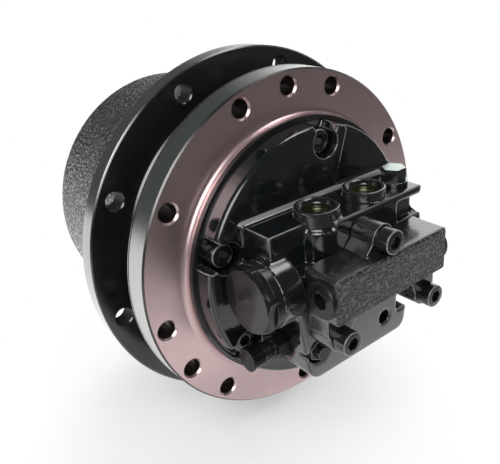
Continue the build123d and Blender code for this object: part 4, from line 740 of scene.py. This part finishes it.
# The rough front is much lighter on the grain's peaks and darker in its hollows: painted highlight and shade of the
# cast skin.
block_peaks = step_up(block_tree, block_sand["Peaks"], 0.35, 1.0)
block_skin_highlight_and_shade = blend_colours(block_tree, block_peaks, (0.003, 0.003, 0.003), (0.12, 0.118, 0.117))
block_smooth = blend_colours(block_tree, block_patches, (0.009, 0.009, 0.010), (0.022, 0.021, 0.021))
block_base = blend_colours(block_tree, skin_mask, block_smooth, block_skin_highlight_and_shade)
block_sheen = blend_values(block_tree, block_patches, 0.16, 0.30)
# Edges are painted lighter: partly wear, partly a painted glint.
block_wear_and_glint = blend_colours(block_tree, edge_wear_and_glint(block_tree, 0.35, 0.9), block_base, (0.28, 0.28, 0.28))
feed(block_shader, {"Base Color": block_wear_and_glint,
                    "Roughness": blend_values(block_tree, skin_mask, block_sheen, 0.30),
                    "Coat Weight": blend_values(block_tree, skin_mask, 0.9, 0.05),
                    "Specular IOR Level": 0.8, "Coat Roughness": 0.12})
block_faint = maths(block_tree, "MULTIPLY", block_patches, 0.15)
bumped(block_tree, block_shader, blend_values(block_tree, skin_mask, block_faint, block_sand["Height"]), 0.0010)
valve_block = cast_copy("valve_block", "valve_block_casting", 0.0007, block_black)
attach(valve_block, "spindle_side")
block_seat = -0.082
block_points = [(x, block_seat, z) for x, z in ((0.0, 0.032), (-0.038, -0.023), (0.043, -0.025))]
block_screws = run_tree(cap_screws, "block_cap_screws", block_points, {"Shank Length": 0.0367, "Finish": black_steel})
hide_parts("valve_block_screws")
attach(block_screws, "spindle_side")


# Caps and plugs of the valve bores: a large hexagon cap, three socket plugs and a fitting on the casing's front.
# Turned and milled from bar, then sprayed with the casing; their edges are painted lighter, partly as thin paint and
# partly as a painted glint.
cap_paint, cap_tree, cap_shader = mottled(
    "painted_bar_steel", (12.0, 2.2), ((0.008, 0.008, 0.009), (0.020, 0.019, 0.019)), (0.22, 0.34),
    wear_and_glint=(0.5, 0.9, (0.30, 0.30, 0.295)))
feed(cap_shader, {"Specular IOR Level": 0.2, "Coat Weight": 0.25, "Coat Roughness": 0.08})
bumped(cap_tree, cap_shader, peeled(cap_tree, 2.5), 0.0002, 0.3)
for node_name, piece_name, width in (("spool_caps", "spool_cap_hexagons", 0.0005),
                                     ("block_plugs", "block_end_plugs", 0.0003),
                                     ("pilot_adapter", "front_fitting", 0.0003)):
    bar_piece = softened(node_name, piece_name, width, cap_paint)
    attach(bar_piece, "spindle_side")


# Pilot plug: a small hexagon plug standing on the right end of the port platform.
# Cold-headed steel sprayed black; faces that look up are pale metal, a painted reflection of the light above.
plug_paint_and_reflection, plug_tree, plug_shader = new_material("plug_paint_and_top_reflection")
plug_patches = patchy(plug_tree, 5.0, 2.0)
# Up-facing faces get pale metal: a painted reflection.
plug_up_facing_reflection = step_up(plug_tree, facing(plug_tree, "Z"), 0.7, 0.9)
plug_pale_reflection = blend_colours(plug_tree, plug_patches, (0.30, 0.355, 0.33), (0.42, 0.475, 0.45))
feed(plug_shader, {"Base Color": blend_colours(plug_tree, plug_up_facing_reflection, (0.012, 0.013, 0.013), plug_pale_reflection),
                   "Roughness": blend_values(plug_tree, plug_patches, 0.16, 0.28),
                   "Metallic": blend_values(plug_tree, plug_up_facing_reflection, 0.0, 0.95), "Specular IOR Level": 0.9})
pilot_plug = softened("pilot_plug", "pilot_hexagon_plug", 0.0003, plug_paint_and_reflection)
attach(pilot_plug, "spindle_side")


# Case drain: a plated adapter with an outside thread, closed for transport by a flared plastic cap.
# The thread is rolled; the cap is pressed over it by hand.
plated_steel, plated_tree, plated_shader = mottled(
    "plated_adapter_steel", (4.0, 2.0), ((0.02, 0.02, 0.022), (0.05, 0.05, 0.05)), (0.15, 0.28))
feed(plated_shader, {"Metallic": 0.5})
drain = softened("drain_adapter", "drain_adapter_bar", 0.0003, plated_steel)
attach(drain, "spindle_side")
drain_thread_root = (-0.0590, -0.036, -0.043)
drain_thread = run_tree(pipe_thread, "drain_adapter_thread", [drain_thread_root],
                        {"Thread Radius": 0.0060, "Thread Length": 0.0075, "Pitch": 0.0015, "Ridge": 0.0006,
                         "Turn": (0.0, -pi / 2, 0.0), "Finish": plated_steel})
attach(drain_thread, "spindle_side")
cap_plastic, plastic_tree, plastic_shader = new_material("black_cap_plastic")
plastic_peel = peeled(plastic_tree, 1.2)
plastic_film = blend_colours(plastic_tree, plastic_peel, (0.006, 0.006, 0.006), (0.012, 0.012, 0.012))
# The cap's edges are painted lighter grey: a painted glint.
plastic_wear_and_glint = blend_colours(plastic_tree, edge_wear_and_glint(plastic_tree, 0.5, 0.9), plastic_film, (0.16, 0.16, 0.16))
feed(plastic_shader, {"Base Color": plastic_wear_and_glint, "Roughness": 0.12, "Specular IOR Level": 0.1})
bumped(plastic_tree, plastic_shader, plastic_peel, 0.0001, 0.3)
plastic_cap = softened("drain_cap", "drain_plastic_cap", 0.0004, cap_plastic)
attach(plastic_cap, "spindle_side")


# Gears, pins and shaft inside the drum: case-hardened steel, hobbed and ground, running in oil.
# Bearings, motor and brake pieces are ground brighter; shoes, valve plate and brake linings are bronze.
# The seals are moulded rubber.
def ground_steel(name, low, high, rough):
    """Ground or turned metal with fine cutter lines round the drive axis and faint oil stains."""
    material, tree, shader = new_material(name)
    lines = lathe_marks(tree, 5.0)[0]
    stains = patchy(tree, 8.0, 2.0)
    lined = blend_colours(tree, lines, low, high)
    dark = tuple(0.6 * part for part in low)
    feed(shader, {"Base Color": blend_colours(tree, maths(tree, "MULTIPLY", stains, 0.4), lined, dark),
                  "Roughness": blend_values(tree, stains, rough, rough + 0.14), "Metallic": 1.0})
    bumped(tree, shader, lines, 0.00004, 0.4)
    return material


by_slot = {}
for subpart in frame["record"]["subparts"]:
    by_slot.setdefault(subpart["material_slot"], []).append(subpart["node"])
dress(by_slot["gear_steel"], ground_steel("hobbed_gear_steel", (0.36, 0.36, 0.37), (0.52, 0.52, 0.53), 0.26))
dress(by_slot["bearing_steel"], ground_steel("ground_bearing_steel", (0.55, 0.55, 0.56), (0.7, 0.7, 0.7), 0.16))
dress(by_slot["bronze"], ground_steel("machined_bronze", (0.5, 0.34, 0.15), (0.66, 0.48, 0.24), 0.28))
seal_rubber, rubber_tree, rubber_shader = new_material("moulded_seal_rubber")
rubber_peel = peeled(rubber_tree, 1.0)
rubber_colour = blend_colours(rubber_tree, rubber_peel, (0.012, 0.012, 0.012), (0.025, 0.025, 0.024))
feed(rubber_shader, {"Base Color": rubber_colour, "Roughness": 0.6})
bumped(rubber_tree, rubber_shader, rubber_peel, 0.0001, 0.4)
dress(by_slot["seal_rubber"], seal_rubber)


# Springs: a coned disc under the brake piston, and a coil spring at each end of the two spools.
# Pressed from sheet or wound from drawn wire; one end sits in the casting, the other against its piston or spool.
def coil_sizes(node_name, side):
    """Reads a coil's two ends, axis, and inner and outer radius from the CAD sleeve on one side of the middle."""
    points = np.array([point.co for point in frame["nodes"][node_name].data.vertices if point.co.x * side > 0])
    low, high = points.min(0), points.max(0)
    y, z = (low[1] + high[1]) / 2, (low[2] + high[2]) / 2
    reach = np.hypot(points[:, 1] - y, points[:, 2] - z)
    return float(low[0]), float(high[0]), float(y), float(z), float(reach.min()), float(reach.max())


spring_wire = ground_steel("drawn_spring_steel", (0.22, 0.22, 0.23), (0.34, 0.34, 0.35), 0.3)
disc_mesh = frame["nodes"]["brake_spring"].data.copy()
disc_mesh.materials.clear()
disc_mesh.materials.append(spring_wire)
brake_spring = linked_piece("brake_disc_spring", disc_mesh)
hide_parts("brake_spring")
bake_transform(brake_spring)
coil_pitch, wire_sides = 0.0032, 12
for node_name, piece_name, side, body, seat, follower in (
        ("counterbalance_springs", "counterbalance_spring_left", -1, "counterbalance_spool", -0.052, -0.038),
        ("counterbalance_springs", "counterbalance_spring_right", 1, "counterbalance_spool", 0.052, 0.038),
        ("speed_springs", "speed_spring_left", -1, "speed_spool", -0.035, -0.02),
        ("speed_springs", "speed_spring_right", 1, "speed_spool", 0.039, 0.02)):
    low, high, y, z, inner, outer = coil_sizes(node_name, side)
    wire = outer - inner
    coil = run_tree(pipe_thread, piece_name, [(low + wire / 2, y, z)],
                    {"Thread Radius": (inner + outer) / 2, "Thread Length": high - low - wire, "Pitch": coil_pitch,
                     "Ridge": wire / 2, "Sides": wire_sides, "Turn": (0.0, pi / 2, 0.0), "Finish": spring_wire})
    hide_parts(node_name)
    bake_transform(coil)
